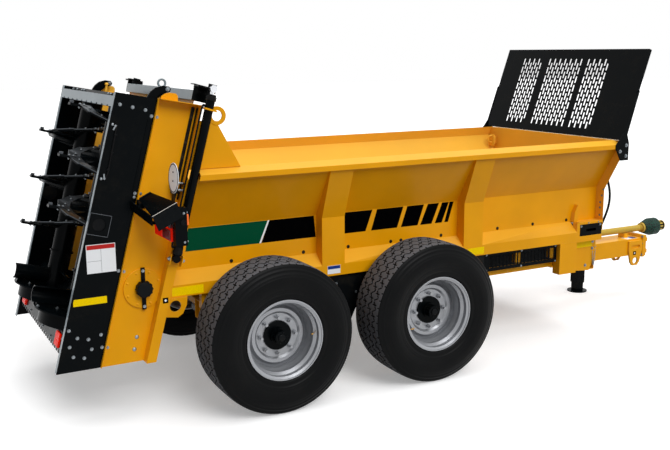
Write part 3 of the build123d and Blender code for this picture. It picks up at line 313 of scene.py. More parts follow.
# pale grey for the grey_paint slot on the black frame's rear-facing flanges and beams: a painted
# reflection of bright light on black paint
REFLECTION_GREY = paint("grey_painted_reflection", linear(126, 140, 147), 0.34, 0.25, 0.06)
SILVER = paint("wheel_silver", linear(148, 150, 154), 0.3, 0.3, 0.04, metallic=0.55)
SIDEWALL = rubber("sidewall_rubber", linear(7, 8, 9), 0.36, 0.015, shine=0.07, ringed=True)
TREAD = rubber("tread_rubber", linear(92, 93, 97), 0.75, 0.45, 120)
GROOVE = rubber("groove_rubber", linear(16, 15, 14), 0.8, 0.15, 120)
HOSE = rubber("hose_rubber", linear(20, 20, 21), 0.4, 0.08, 500)
STEEL = metal("bare_steel", linear(150, 146, 140), 0.36)
# worn steel on the beaters, chain and seals; on the hatch plate's edges it is a painted highlight
WORN_STEEL_AND_HIGHLIGHT = metal("worn_black_steel_and_highlight", linear(82, 86, 90), 0.32, wear=0.3)
ZINC = metal("zinc_plate", linear(136, 142, 146), 0.34, wear=0.1)
BRASS = metal("brass", linear(196, 150, 84), 0.3, wear=0.1)
CHROME = metal("hard_chrome", linear(222, 224, 228), 0.09, (1, 1, 0.05), 0.03)
RED = plastic("red_lens", linear(222, 28, 8), 0.2, 0.02, glow=0.35, clear=0.04, shine=0.15)
DARK_RED = plastic("dark_red_lens", linear(120, 10, 8), 0.16, 0.02, clear=0.12)
ORANGE = plastic("orange_lens", linear(240, 104, 14), 0.16, 0.02, glow=0.3, clear=0.12)
# the white plates glow a little: painted light, brightening plates that face away from the lamps
WHITE_SIGN = plastic("white_plate", linear(226, 228, 230), 0.35, 0.03, glow=0.14, shine=0.15)
RED_SIGN = plastic("red_band", linear(186, 30, 26), 0.35, 0.03, shine=0.2)
GREY_LINE = plastic("grey_line", linear(120, 122, 126), 0.4, 0.03, shine=0.2)
GREEN_FILM = plastic("green_film", linear(2, 74, 48), 0.3, 0.01, shine=0.02)
BLACK_FILM = plastic("black_film", linear(3, 3, 4), 0.3, 0.005, shine=0.0)
BLUE_FILM = plastic("blue_film", linear(24, 58, 136), 0.3, 0.02, shine=0.1)
PLUG = plastic("black_plug", linear(12, 12, 12), 0.5, shine=0.1)
GUARD_YELLOW = plastic("guard_yellow_plastic", linear(192, 160, 62), 0.55, 0.35, shine=0.15)
GUARD_GREEN = moulded_net("guard_green_net", linear(12, 62, 48), linear(2, 8, 7))
FILM_YELLOW = reflector("yellow_reflector", linear(255, 216, 0))

LOOK_OF = {
    "yellow_paint": YELLOW,
    "black_paint": GLOSS_BLACK,
    "grey_paint": REFLECTION_GREY,
    "rim_silver": SILVER,
    "tyre_rubber": SIDEWALL,
    "hose_rubber": HOSE,
    "chain_steel": STEEL,
    "rod_chrome": CHROME,
    "lamp_red": RED,
    "guard_yellow": GUARD_YELLOW,
    "guard_green": GUARD_GREEN,
}
SLOT_OF = {look: slot for slot, look in LOOK_OF.items()}
SLOT_OF.update({SATIN_BLACK: "black_paint", WORN_STEEL_AND_HIGHLIGHT: "black_paint", DARK_RED: "lamp_red"})


# Solids added to a mesh


def add_object(name, data):
    made = bpy.data.objects.new(name, data)
    bpy.context.scene.collection.objects.link(made)
    return made


def basis(place, forward, up=(0, 0, 1)):
    """A matrix at a place whose Z axis points along forward."""
    z = Vector(forward).normalized()
    side = Vector(up).cross(z)
    if side.length < 1e-4:
        side = Vector((1, 0, 0)).cross(z)
    x = side.normalized()
    turn = Matrix((x, z.cross(x), z)).transposed().to_4x4()
    return Matrix.Translation(place) @ turn


def circle(radius, count, start=0.0):
    step = 2 * math.pi / count
    return [
        (radius * math.cos(start + index * step), radius * math.sin(start + index * step))
        for index in range(count)
    ]


def add_skin(shape, rings, capped=True, looped=False):
    """The faces between rings of points, with a cap at both ends or back to the first."""
    rings = [[shape.verts.new(point) for point in ring] for ring in rings]
    faces = []
    for low, high in zip(rings, rings[1:] + rings[:looped]):
        for index in range(len(low)):
            after = (index + 1) % len(low)
            faces.append(shape.faces.new((low[index], low[after], high[after], high[index])))
    if capped:
        faces.append(shape.faces.new(rings[0][::-1]))
        faces.append(shape.faces.new(rings[-1]))
    return faces


def add_solid(shape, low, high, bevel=0.0, segments=2, profile=0.5):
    """A solid between two outlines, its edges rounded off."""
    faces = add_skin(shape, [low, high])
    bmesh.ops.recalc_face_normals(shape, faces=faces)
    if bevel:
        edges = list({edge for face in faces for edge in face.edges})
        bmesh.ops.bevel(
            shape, geom=edges, offset=bevel, segments=segments, affect="EDGES",
            profile=profile, clamp_overlap=True)


def add_prism(shape, outline, depth, matrix, bevel=0.0, segments=2):
    """A flat outline in XY pushed along Z."""
    low, high = (
        [matrix @ Vector((x, y, z)) for x, y in outline] for z in (0, depth))
    add_solid(shape, low, high, bevel, segments)


def add_block(shape, span, bevel, matrix):
    """A box given by two ends along X, along Y and along Z."""
    x, y, z = (sorted(span[index:index + 2]) for index in (0, 2, 4))
    outline = [(x[0], y[0]), (x[1], y[0]), (x[1], y[1]), (x[0], y[1])]
    add_prism(shape, outline, z[1] - z[0], matrix @ Matrix.Translation((0, 0, z[0])), bevel)


def add_bolt(shape, place, normal, size, washer):
    """A hexagon head on a washer, standing on a surface."""
    matrix = basis(place, normal)
    if washer:
        add_prism(shape, circle(size * 1.35, 20), size * 0.22, matrix)
        matrix = matrix @ Matrix.Translation((0, 0, size * 0.2))
    add_prism(shape, circle(size, 6, 0.4), size * 0.75, matrix, size * 0.12, 1)
    matrix = matrix @ Matrix.Translation((0, 0, size * 0.7))
    add_prism(shape, circle(size * 0.55, 14), size * 0.35, matrix)


def add_lathe(shape, profile, matrix, count, closed=True):
    """A profile of (radius, height) points turned about Z."""
    add_skin(shape, [
        [matrix @ Vector((x, y, height)) for x, y in circle(radius, count)]
        for radius, height in profile], closed)


def add_dome(shape, place, normal, radius, height):
    """A round head, domed."""
    angles = [step * math.pi / 8 for step in range(4)]
    profile = [(radius * math.cos(angle), height * math.sin(angle)) for angle in angles]
    add_lathe(shape, profile, basis(place, normal), 16)


def add_tube(shape, points, radius, sides):
    """A round tube through the points, which may bend sharply only a little."""
    rings = []
    for index, point in enumerate(points):
        before = points[max(0, index - 1)]
        after = points[min(len(points) - 1, index + 1)]
        direction = (after - before).normalized()
        side = Vector((0, 0, 1)).cross(direction)
        if side.length < 0.1:
            side = Vector((0, 1, 0)).cross(direction)
        side.normalize()
        other = direction.cross(side)
        rings.append([point + side * x + other * y for x, y in circle(radius, sides)])
    add_skin(shape, rings)


def add_torus(shape, place, normal, radius, thick, count=28, sides=10):
    matrix = basis(place, normal)
    rings = []
    for x, y in circle(1.0, count):
        middle = Vector((x, y, 0))
        rings.append([
            matrix @ (middle * (radius + out) + Vector((0, 0, rise)))
            for out, rise in circle(thick, sides)])
    add_skin(shape, rings[::-1], capped=False, looped=True)


# Drawings: functions that add to a mesh on the side of a sign. Places are given for
# the left side, where Y grows outwards, in level axes or in the tilted rear frame's.
# An upright face's places are (x, z) pairs; a block's ends are in pairs along X, Y, Z.


LEVEL = Matrix()
REAR = Matrix.Translation((REAR_X, 0, REAR_Z)) @ Matrix.Rotation(TILT, 4, "Y")
OUT = (0, 1, 0)
IN = (0, -1, 0)
UP = (0, 0, 1)
AHEAD = (1, 0, 0)
AFT = (-1, 0, 0)
SOFT = 38
SMOOTH = 180
ONCE = (1,)


def mirrored(vector, sign):
    return Vector((vector[0], sign * vector[1], vector[2]))


def placed(axes, place, sign):
    return mirrored(axes @ Vector(place), sign)


def turned(axes, normal, sign):
    return mirrored(axes.to_3x3() @ Vector(normal), sign)


def on(face, *places):
    """Places at (x, z) on an upright face."""
    return [(x, face, z) for x, z in places]


def heads(add, normal, places, axes, *sizes):
    def draw(shape, sign):
        for place in places:
            add(shape, placed(axes, place, sign), turned(axes, normal, sign), *sizes)
    return draw


def bolts(size, normal, places, axes=LEVEL, washer=True):
    return heads(add_bolt, normal, places, axes, size, washer)


def domes(radius, height, normal, places, axes=LEVEL):
    return heads(add_dome, normal, places, axes, radius, height)


def blocks(bevel, *spans, axes=LEVEL):
    def draw(shape, sign):
        for x_low, x_high, y_low, y_high, z_low, z_high in spans:
            add_block(
                shape, (x_low, x_high, sign * y_low, sign * y_high, z_low, z_high), bevel, axes)
    return draw


def plates(face, depth, bevel, *spans, axes=LEVEL):
    """Blocks that stand out from an upright face, given by their ends along X and Z."""
    return blocks(bevel, *(
        (x_low, x_high, face, face + depth, z_low, z_high)
        for x_low, x_high, z_low, z_high in spans), axes=axes)


def tubes(radius, sides, *routes, axes=LEVEL):
    def draw(shape, sign):
        for route in routes:
            add_tube(shape, [placed(axes, place, sign) for place in route], radius, sides)
    return draw


def lathe(profile, place, normal, count, closed=True, axes=LEVEL):
    def draw(shape, sign):
        matrix = basis(placed(axes, place, sign), turned(axes, normal, sign))
        add_lathe(shape, profile, matrix, count, closed)
    return draw


def torus(place, normal, radius, thick):
    def draw(shape, sign):
        add_torus(shape, mirrored(place, sign), mirrored(normal, sign), radius, thick)
    return draw


def ribs(count, span, bevel, place, normal):
    """The same block again and again about an axis."""
    def draw(shape, sign):
        matrix = basis(mirrored(place, sign), mirrored(normal, sign))
        for index in range(count):
            turn = Matrix.Rotation(index * 2 * math.pi / count, 4, "Z")
            add_block(shape, span, bevel, matrix @ turn)
    return draw


def panels(face, depth, bevel, *outlines):
    """Sheets with outlines in X and Z that stand out from an upright face."""
    def draw(shape, sign):
        matrix = Matrix((
            (1, 0, 0, 0), (0, 0, sign, sign * face), (0, 1, 0, 0), (0, 0, 0, 1)))
        for outline in outlines:
            add_prism(shape, outline, depth, matrix, bevel)
    return draw


def piece(name, look, *drawings, signs=SIDES.values(), body="frame", soft=0):
    """One object of its drawings; edges sharper than the angle soft stay crisp."""
    shape = bmesh.new()
    for sign in signs:
        for draw in drawings:
            draw(shape, sign)
    mesh = bpy.data.meshes.new(name)
    shape.to_mesh(mesh)
    shape.free()
    mesh.transform(Matrix.Translation((SHIFT, 0, 0)))
    mesh.materials.append(look)
    made = add_object(name, mesh)
    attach(made, body)
    if soft:
        mesh.polygons.foreach_set("use_smooth", [True] * len(mesh.polygons))
        mesh.set_sharp_from_angle(angle=math.radians(soft))
    return made


# The camera, solved from the photograph: angles in degrees, place from the tandem


CAMERA_ANGLES = (-28.484, 10.92, -0.332)
CAMERA_PLACE = (-3.288 + SHIFT, -6.812, 2.591)
SENSOR_WIDTH = 36
FOCAL_SHARE = 895.98 / 670


def make_camera():
    azimuth, elevation, roll = (math.radians(angle) for angle in CAMERA_ANGLES)
    data = bpy.data.cameras.new("camera")
    data.sensor_width = SENSOR_WIDTH
    data.lens = FOCAL_SHARE * SENSOR_WIDTH
    data.clip_start = 0.1
    data.clip_end = 200
    camera = add_object("camera", data)
    camera.matrix_world = (
        Matrix.Translation(CAMERA_PLACE) @ Matrix.Rotation(azimuth, 4, "Z")
        @ Matrix.Rotation(math.pi / 2 - elevation, 4, "X") @ Matrix.Rotation(roll, 4, "Z"))
    bpy.context.scene.camera = camera


make_camera()


# The hydraulic hose at the front, the one free line of the machine


# places ahead of the front wall
HOSE_ROUTE = (
    (0.0173, -0.78, 1.64), (0.02, -0.782, 1.5), (0.115, -0.78, 1.25),
    (0.09, -0.72, 1.0), (0.0113, -0.65, 0.77),
)


def hose_end(place, following):
    """A hexagon on the fitting, a crimped sleeve and its lip."""
    start = Vector(place) + Vector((BODY_FRONT, 0, 0))
    way = (Vector(following) - Vector(place)).normalized()
    return [
        tubes(radius, sides, (start + way * low, start + way * high))
        for radius, sides, low, high in (
            (0.0165, 6, -0.004, 0.014), (0.0145, 18, 0.012, 0.046), (0.0128, 18, 0.044, 0.05))]


def make_front_hose():
    data = bpy.data.curves.new("front_hose", "CURVE")
    data.dimensions = "3D"
    spline = data.splines.new("NURBS")
    spline.points.add(len(HOSE_ROUTE) - 1)
    for point, (x, y, z) in zip(spline.points, HOSE_ROUTE):
        point.co = (BODY_FRONT + SHIFT + x, y, z, 1)
    spline.order_u = 3
    spline.use_endpoint_u = True
    data.bevel_depth = 0.011
    data.bevel_resolution = 6
    data.resolution_u = 24
    data.use_fill_caps = True
    data.materials.append(HOSE)
    hose = add_object("front_hose", data)
    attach(hose, "frame")
    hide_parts("front_hoses")
    ends = piece(
        "front_hose_ends", ZINC, *hose_end(HOSE_ROUTE[0], HOSE_ROUTE[1]),
        *hose_end(HOSE_ROUTE[-1], HOSE_ROUTE[-2]), signs=ONCE, soft=SOFT)
    x, y, z = HOSE_ROUTE[0]


make_front_hose()


# Looks of the CAD nodes


for node in nodes.values():
    for index, material in enumerate(node.data.materials):
        slot = material.name.split(".")[0] if material else None
        if slot in LOOK_OF:
            node.data.materials[index] = LOOK_OF[slot]
for name in ("conveyor_shaft_rear", "conveyor_shaft_front", "drive_line"):
    nodes[name].data.materials.clear()
    nodes[name].data.materials.append(STEEL)


# Tyres


TREAD_HALF = 0.165
TREAD_ROWS = 56
TREAD_STEPS = 720
WALL_STEPS = 180
CROWN_DROP = 0.006
GROOVE_DEPTH = 0.011
GROOVE_HALF = 0.0052
GROOVE_PERIODS = 40
GROOVE_LINES = (-0.105, -0.038, 0.038, 0.105)
SHOULDER = 0.016
HOOK = 0.024
# (radius, distance from the middle plane) down the sidewall to inside the rim
TYRE_WALL = (
    (0.5525, 0.1705), (0.545, 0.1745), (0.538, 0.1785), (0.534, 0.1778), (0.525, 0.1855),
    (0.512, 0.1925), (0.508, 0.192), (0.495, 0.1985), (0.47, 0.2068), (0.445, 0.2095),
    (0.42, 0.2088), (0.4, 0.2068), (0.396, 0.205), (0.38, 0.2025), (0.36, 0.197),
    (0.345, 0.1925), (0.341, 0.1895), (0.33, 0.189), (0.32, 0.1905), (0.312, 0.189),
    (0.304, 0.18), (0.301, 0.17), (0.299, 0.156),
)
CASING_END = (0.2845, 0.15)
WHEEL_TURN = {"rear": 0.35, "front": 1.1}


def tread_depth(across, turn):
    """How deep the tread is cut at a place: wavy grooves with hooked side cuts."""
    wave = turn * GROOVE_PERIODS
    cut = 0.0
    for line, middle in enumerate(GROOVE_LINES):
        phase = (wave + (line % 2) * 0.5) % 1.0
        swing = 0.016 * math.sin(2 * math.pi * phase) + 0.006 * math.sin(4 * math.pi * phase)
        cut = max(cut, 1 - abs(across - middle - swing) / GROOVE_HALF)
        along = abs(phase - 0.5) / GROOVE_PERIODS * 2 * math.pi * TYRE_R
        if abs(across - middle) < HOOK:
            cut = max(cut, 0.7 * (1 - along / GROOVE_HALF))
    if abs(across) > TREAD_HALF - SHOULDER:
        phase = (wave * 1.5) % 1.0
        along = abs(phase - 0.5) / (GROOVE_PERIODS * 1.5) * 2 * math.pi * TYRE_R
        cut = max(cut, 0.8 * (1 - along / GROOVE_HALF))
    return GROOVE_DEPTH * min(1.0, cut * 2)


def tyre_mesh():
    """Tread rows at full resolution, sidewalls at a quarter, joined without a gap."""
    verts = []
    faces = []

    def ring(radius, across, steps, depth=lambda turn: 0.0):
        start = len(verts)
        for index in range(steps):
            angle = index * 2 * math.pi / steps
            r = radius - depth(index / steps)
            verts.append((r * math.cos(angle), across, r * math.sin(angle)))
        return start

    def strip(one, two, steps, flip=False):
        for index in range(steps):
            after = (index + 1) % steps
            face = (one + index, one + after, two + after, two + index)
            faces.append(face[::-1] if flip else face)

    rows = []
    for row in range(TREAD_ROWS + 1):
        across = -TREAD_HALF + 2 * TREAD_HALF * row / TREAD_ROWS
        crown = TYRE_R - CROWN_DROP * (across / TREAD_HALF) ** 4
        rows.append(ring(crown, across, TREAD_STEPS, lambda turn: tread_depth(across, turn)))
    for one, two in zip(rows, rows[1:]):
        strip(one, two, TREAD_STEPS)
    share = TREAD_STEPS // WALL_STEPS
    inner = []
    for sign, tread_end in ((-1, rows[0]), (1, rows[-1])):
        flip = sign < 0
        wall = [ring(radius, sign * across, WALL_STEPS) for radius, across in TYRE_WALL]
        for index in range(WALL_STEPS):
            after = (index + 1) % WALL_STEPS
            fine = [tread_end + (index * share + k) % TREAD_STEPS for k in range(share + 1)]
            face = (*fine, wall[0] + after, wall[0] + index)
            faces.append(face[::-1] if flip else face)
        # the casing goes on inside the rim and closes there
        wall.append(ring(CASING_END[0], sign * CASING_END[1], WALL_STEPS))
        for one, two in zip(wall, wall[1:]):
            strip(one, two, WALL_STEPS, flip)
        inner.append(wall[-1])
    strip(inner[1], inner[0], WALL_STEPS)
    return verts, faces


def make_tyres():
    verts, faces = tyre_mesh()
    shared = bpy.data.meshes.new("tyre")
    shared.from_pydata(verts, [], faces)
    for look in (SIDEWALL, TREAD, GROOVE):
        shared.materials.append(look)
    tread_faces = TREAD_ROWS * TREAD_STEPS
    looks = []
    for face in faces[:tread_faces]:
        cut = TYRE_R - min(math.hypot(verts[corner][0], verts[corner][2]) for corner in face)
        looks.append(2 if cut > GROOVE_DEPTH * 0.9 else 1)
    looks += [0] * (len(faces) - tread_faces)
    shared.polygons.foreach_set("material_index", looks)
    # the tread and the first faces of the sidewalls stay flat
    flat = tread_faces + 2 * WALL_STEPS
    shared.polygons.foreach_set("use_smooth", [number >= flat for number in range(len(faces))])
    shape = bmesh.new()
    shape.from_mesh(shared)
    bmesh.ops.recalc_face_normals(shape, faces=shape.faces)
    shape.to_mesh(shared)
    shape.free()
    for side, sign in SIDES.items():
        for end, x in AXLES.items():
            name = end + "_" + side
            mesh = shared.copy()
            turn = Matrix.Rotation(WHEEL_TURN[end], 4, "Y")
            mesh.transform(Matrix.Translation((x + SHIFT, sign * WHEEL_Y, AXLE_Z)) @ turn)
            made = add_object("treaded_tyre_" + name, mesh)
            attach(made, "wheel_" + name)
            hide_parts("tyre_" + name)


make_tyres()


# Valves and hub caps


VALVE_TURN = {"rear": 0.0, "front": math.radians(205)}
CAP_Y = WHEEL_Y + 0.116


def make_wheel_details():
    for side, sign in SIDES.items():
        for end, x in AXLES.items():
            name = end + "_" + side
            on_wheel = {"signs": [sign], "body": "wheel_" + name}
            hub = Matrix.Translation((x, 0, AXLE_Z))
            valve = hub @ Matrix.Rotation(-VALVE_TURN[end], 4, "Y")
            base, tip, cap = (
                (0.262, WHEEL_Y + 0.118, 0), (0.236, WHEEL_Y + 0.138, 0),
                (0.2282, WHEEL_Y + 0.144, 0))
            piece(
                "valve_" + name, BRASS, tubes(0.0045, 12, (base, tip), axes=valve),
                tubes(0.0062, 12, (tip, cap), axes=valve), soft=SMOOTH, **on_wheel)
            piece(
                "hub_cap_" + name, SATIN_BLACK,
                bolts(0.0055, OUT, on(CAP_Y, *circle(0.04, 6, 0.2)), hub, washer=False),
                lathe(
                    [(0.026, 0), (0.026, 0.006), (0.022, 0.009), (0.01, 0.01)],
                    (0, CAP_Y, 0), OUT, 28, axes=hub), **on_wheel)


make_wheel_details()


# Films and plugs on the walls


FILM = 0.0008
BAND_TOP = 1.342
BAND_FOOT = 1.172
PLUG_Z = 1.062


def band(*rows):
    """Films with X at the upper left, upper right, lower right and lower left."""
    return panels(WALL_Y, FILM, 0, *(
        ((a, BAND_TOP), (b, BAND_TOP), (c, BAND_FOOT), (d, BAND_FOOT)) for a, b, c, d in rows))


piece("green_band", GREEN_FILM, band((-1.185, -0.552, -0.626, -1.211)))
piece("white_line", WHITE_SIGN, band((-0.552, -0.538, -0.611, -0.626)))
piece("black_bands", BLACK_FILM, band(
    (-0.538, -0.16, -0.144, -0.609), (0.098, 0.372, 0.307, 0.115),
    (0.416, 0.668, 0.608, 0.36), (0.708, 0.872, 0.81, 0.646), (0.912, 1.024, 0.95, 0.837),
    (1.056, 1.124, 1.054, 0.984), (1.133, 1.174, 1.119, 1.082)))
piece("wall_plugs", PLUG, domes(0.0145, 0.008, OUT, on(WALL_Y, *(
    (x, PLUG_Z) for x in (-0.856, -0.253, 0.147, 0.548, 0.647, 1.05, 1.652, 2.052, 2.451)))),
    soft=SMOOTH)


# Fasteners and plates on the rear frame


SIGN_FACE = PLATE_Y + 0.0018
DISC_Y = 0.829
COVER_Y = 0.841
KNOB_PLACE = (CONVEYOR_X, 0.874, CONVEYOR_Z)

piece(
    "rear_frame_bolts", ZINC,
    bolts(0.0088, OUT, on(
        PLATE_Y, (0.044, 1.886), (0.132, 1.887), (0.222, 1.889), (0.272, 1.857),
        (0.272, 1.317), (0.272, 0.77), (0.246, 0.311), (0.272, 0.223), (0.023, 0.313),
        (0.091, 0.268), (0.167, 0.268), (0.051, 0.2), (0.204, 0.202), (0.091, 0.134),
        (0.166, 0.135)), REAR),
    bolts(0.008, OUT, on(
        PLATE_Y, (0.311, 1.859), (0.311, 0.77), (0.311, 0.225), (0.311, 1.322)), REAR),
    domes(0.015, 0.008, OUT, on(PLATE_Y, (0.502, 0.321), (0.504, 0.231)), REAR), soft=SOFT)
# the folded strips at the plate's edges and the hatch's own screws
piece(
    "plate_strips", GLOSS_BLACK,
    plates(
        PLATE_Y, 0.004, 0.0015, (0.25, 0.259, 1.33, 1.83), (0.0, 0.012, 0.01, 1.95),
        axes=REAR),
    domes(0.006, 0.004, OUT, on(
        PLATE_Y + 0.004, (0.012, 0.999), (0.012, 1.123), (0.136, 0.999), (0.136, 1.123)), REAR))
piece(
    "shaft_disc_heads", YELLOW, domes(0.0085, 0.006, OUT, on(DISC_Y, *(
        (CONVEYOR_X + x, CONVEYOR_Z + z) for x, z in circle(0.119, 8, math.radians(22.5))))),
    soft=SOFT)
piece("shaft_cover_bolts", ZINC, bolts(0.0085, OUT, on(
    COVER_Y, (CONVEYOR_X, CONVEYOR_Z + 0.128), (CONVEYOR_X, CONVEYOR_Z - 0.128))))
# the ribbed knob over the shaft's end
piece(
    "shaft_cover_grips", SATIN_BLACK,
    lathe([(0.055, -0.004), (0.055, 0.002), (0.05, 0.008), (0.03, 0.01)], KNOB_PLACE, OUT, 36),
    ribs(12, (0.053, 0.06, -0.006, 0.006, -0.04, 0.002), 0.002, KNOB_PLACE, OUT))
# a blank plate with a plain band, ruled into three fields
piece("blank_plates", WHITE_SIGN, plates(PLATE_Y, 0.002, 0.0009, (-1.95, -1.75, 1.12, 1.32)))
piece("blank_plate_bands", RED_SIGN, plates(
    SIGN_FACE, 0.001, 0.0004, (-1.946, -1.754, 1.286, 1.316)))
piece("blank_plate_lines", GREY_LINE, plates(
    SIGN_FACE, 0.0008, 0.0003, (-1.851, -1.849, 1.125, 1.284), (-1.945, -1.85, 1.2035, 1.2055)))
piece(
    "yellow_reflectors", FILM_YELLOW,
    plates(PLATE_Y, 0.0012, 0.0005, (-2.056, -1.826, 0.904, 0.953)),
    plates(
        SKIRT_Y, 0.0012, 0.0005, (-1.357, -1.118, 0.878, 0.94), (1.262, 1.433, 0.88, 0.94)),
    plates(COLUMN_Y, 0.0012, 0.0005, (2.577, 2.765, 0.786, 0.852)))


# The blank round disc on its strap


DISC_PLACE = (-1.395, 1.05, 1.767)
DISC_FACE = (-1.0, 0.0, 0.06)


def draw_disc_strap(shape, sign):
    matrix = basis(mirrored(DISC_PLACE, sign), DISC_FACE)
    add_block(shape, (-0.026, 0.026, -0.19, 0.06, -0.0075, -0.0032), 0.001, matrix)
    for rise in (-0.02, 0.04):
        add_bolt(shape, matrix @ Vector((0, rise, 0)), DISC_FACE, 0.005, True)


for name, look, profile in (
        ("disc_rims", WHITE_SIGN, (
            (0.103, -0.003), (0.103, 0.0), (0.101, 0.0008), (0.093, 0.0008), (0.092, 0.0))),
        ("disc_faces", WHITE_SIGN, (
            (0.0925, -0.001), (0.0925, 0.0), (0.091, 0.0006), (0.06, 0.0009))),
        ("disc_lines", BLACK_FILM, (
            (0.0985, 0.0004), (0.0985, 0.0014), (0.0915, 0.0014), (0.0915, 0.0004)))):
    piece(name, look, lathe(profile, DISC_PLACE, DISC_FACE, 56))
piece("disc_straps", SATIN_BLACK, draw_disc_strap)


# Side lamps, their holders and guards


LAMP_START = (-1.5, 0.93, 1.376)
LAMP_EDGE = Vector((0.36, 1.0, -0.21)) * 0.1635
LAMP_FACE = Vector((-1, 0.36, 0)).normalized()
LAMP_TOP = 0.084
LENS_Z = (0.006, 0.078)
LENS_DEPTH = 0.007
HOLDER_FRONT = -1.345
HOLDER_FACE = 1.155


def lens(start_share, end_share):
    """A pillowed lens on the lamp's rear face, between two shares of its edge."""
    def draw(shape, sign):
        edge = mirrored(LAMP_EDGE, sign)
        outward = mirrored(LAMP_FACE, sign)
        corners = [
            mirrored(LAMP_START, sign) + edge * share + Vector((0, 0, height))
            for share, height in (
                (start_share, LENS_Z[0]), (end_share, LENS_Z[0]),
                (end_share, LENS_Z[1]), (start_share, LENS_Z[1]))]
        middle = sum(corners, Vector()) / 4
        back = [point - outward * 0.001 for point in corners]
        front = [point + (middle - point) * 0.07 + outward * LENS_DEPTH for point in corners]
        add_solid(shape, back, front, 0.0025, profile=0.6)
    return draw


def rods(radius, count, length, rise, bevel, *shares):
    """Short round rods along the lamp's edge, on its top."""
    def draw(shape, sign):
        edge = mirrored(LAMP_EDGE, sign)
        above = Vector((0, 0, LAMP_TOP + rise)) - mirrored(LAMP_FACE, sign) * 0.02
        for share in shares:
            place = mirrored(LAMP_START, sign) + edge * share + above
            add_prism(shape, circle(radius, count), length, basis(place, edge), bevel)
    return draw


piece("bright_lenses", RED, lens(0.02, 0.485))
piece("dark_lenses", DARK_RED, lens(0.5, 0.98))
piece("orange_lenses", ORANGE, rods(0.022, 18, 0.03, 0.02, 0.003, 0.6))
# the bright reflector leaves between the orange lens and the holder
piece("lamp_fins", ZINC, rods(0.019, 14, 0.002, 0.018, 0, 0.8, 0.845, 0.89, 0.935))
piece("holder_rings", SATIN_BLACK, lathe(
    [(0.019, 0), (0.019, 0.005), (0.015, 0.006), (0.012, 0.002), (0.004, 0.002)],
    (-1.372, HOLDER_FACE, 1.478), OUT, 28))
piece(
    "holder_bolts", ZINC,
    bolts(0.01, AHEAD, on(1.128, (HOLDER_FRONT, 1.54), (HOLDER_FRONT, 1.342))),
    bolts(0.006, OUT, on(HOLDER_FACE, (-1.366, 1.54), (-1.366, 1.342))),
    bolts(0.008, OUT, on(PLATE_Y, (0.272, 1.29), (0.311, 1.262)), REAR),
    bolts(0.008, AFT, [(-1.606, 0.905, 1.566)]))
piece("side_markers", ORANGE, blocks(
    0.004, (HOLDER_FRONT, HOLDER_FRONT + 0.014, 1.108, 1.15, 1.455, 1.53)))
piece("guard_edges", STEEL, tubes(
    0.0022, 6, ((-1.5755, 1.1305, 1.5325), (-1.403, 1.1305, 1.6135))), soft=SOFT)
# the rolled stiffener bolted under the guard's inner edge
piece("guard_rolls", SATIN_BLACK, tubes(
    0.005, 10, ((-1.583, 0.874, 1.618), (-1.502, 0.874, 1.656))), soft=SOFT)


# The door's cylinders


CYLINDER_Y = 0.934
CHEEKS_Y = (0.899, 0.952)
CHEEKS_OUT = (0.572, 0.668)
PORTS_ALONG = (1.01, 2.01)

# two cheeks either side of the cylinder's foot, and the web that joins them
piece("cylinder_cheeks", YELLOW, blocks(
    0.003, (0.572, 0.58, *CHEEKS_Y, 0.88, 0.958), (0.66, 0.668, *CHEEKS_Y, 0.88, 0.958),
    (*CHEEKS_OUT, 0.899, 0.908, 0.87, 0.892), axes=REAR))
piece("cylinder_pins", ZINC, *(
    bolts(0.013, normal, [(out, CYLINDER_Y, 0.923)], REAR)
    for out, normal in zip(CHEEKS_OUT, (AFT, AHEAD))))
# the black sleeves over the cylinder's ends
piece("cylinder_collars", SATIN_BLACK, *(
    lathe(profile, (0.62, CYLINDER_Y, along), UP, 28, False, REAR)
    for along, profile in (
        (0.962, (
            (0.0315, 0), (0.036, 0.002), (0.036, 0.02), (0.0335, 0.024), (0.0335, 0.05),
            (0.0312, 0.052))),
        (2.05, (
            (0.0312, 0), (0.0365, 0.003), (0.0365, 0.03), (0.03, 0.034), (0.0175, 0.038))))),
    soft=SOFT)
# the pressure line: two ports with a bridge pipe along the cylinder
piece(
    "cylinder_ports", SATIN_BLACK,
    tubes(0.01, 12, *(
        ((0.585, CYLINDER_Y, along), (0.571, CYLINDER_Y + 0.002, along))
        for along in PORTS_ALONG), axes=REAR),
    tubes(0.0065, 10, on(
        CYLINDER_Y, (0.571, PORTS_ALONG[0]), (0.568, 1.03), (0.568, 1.99),
        (0.571, PORTS_ALONG[1])), axes=REAR), soft=SOFT)
# the black seal that lies in the pan against the door
piece(
    "pan_seals", PLUG,
    plates(PLATE_Y, 0.01, 0.003, (0.536, 0.56, 1.3, 1.985), axes=REAR),
    plates(PLATE_Y, 0.028, 0.001, (0.572, 0.576, 1.33, 1.985), axes=REAR))


# Grease line on the housing plate, pressure lines on the pan


GREASE_Y = PLATE_Y + 0.0065
PIPES_Y = 0.868
GREASE_ENDS = ((1.745, 1), (1.372, -1))
PIPES_Z = (1.7, 1.65)

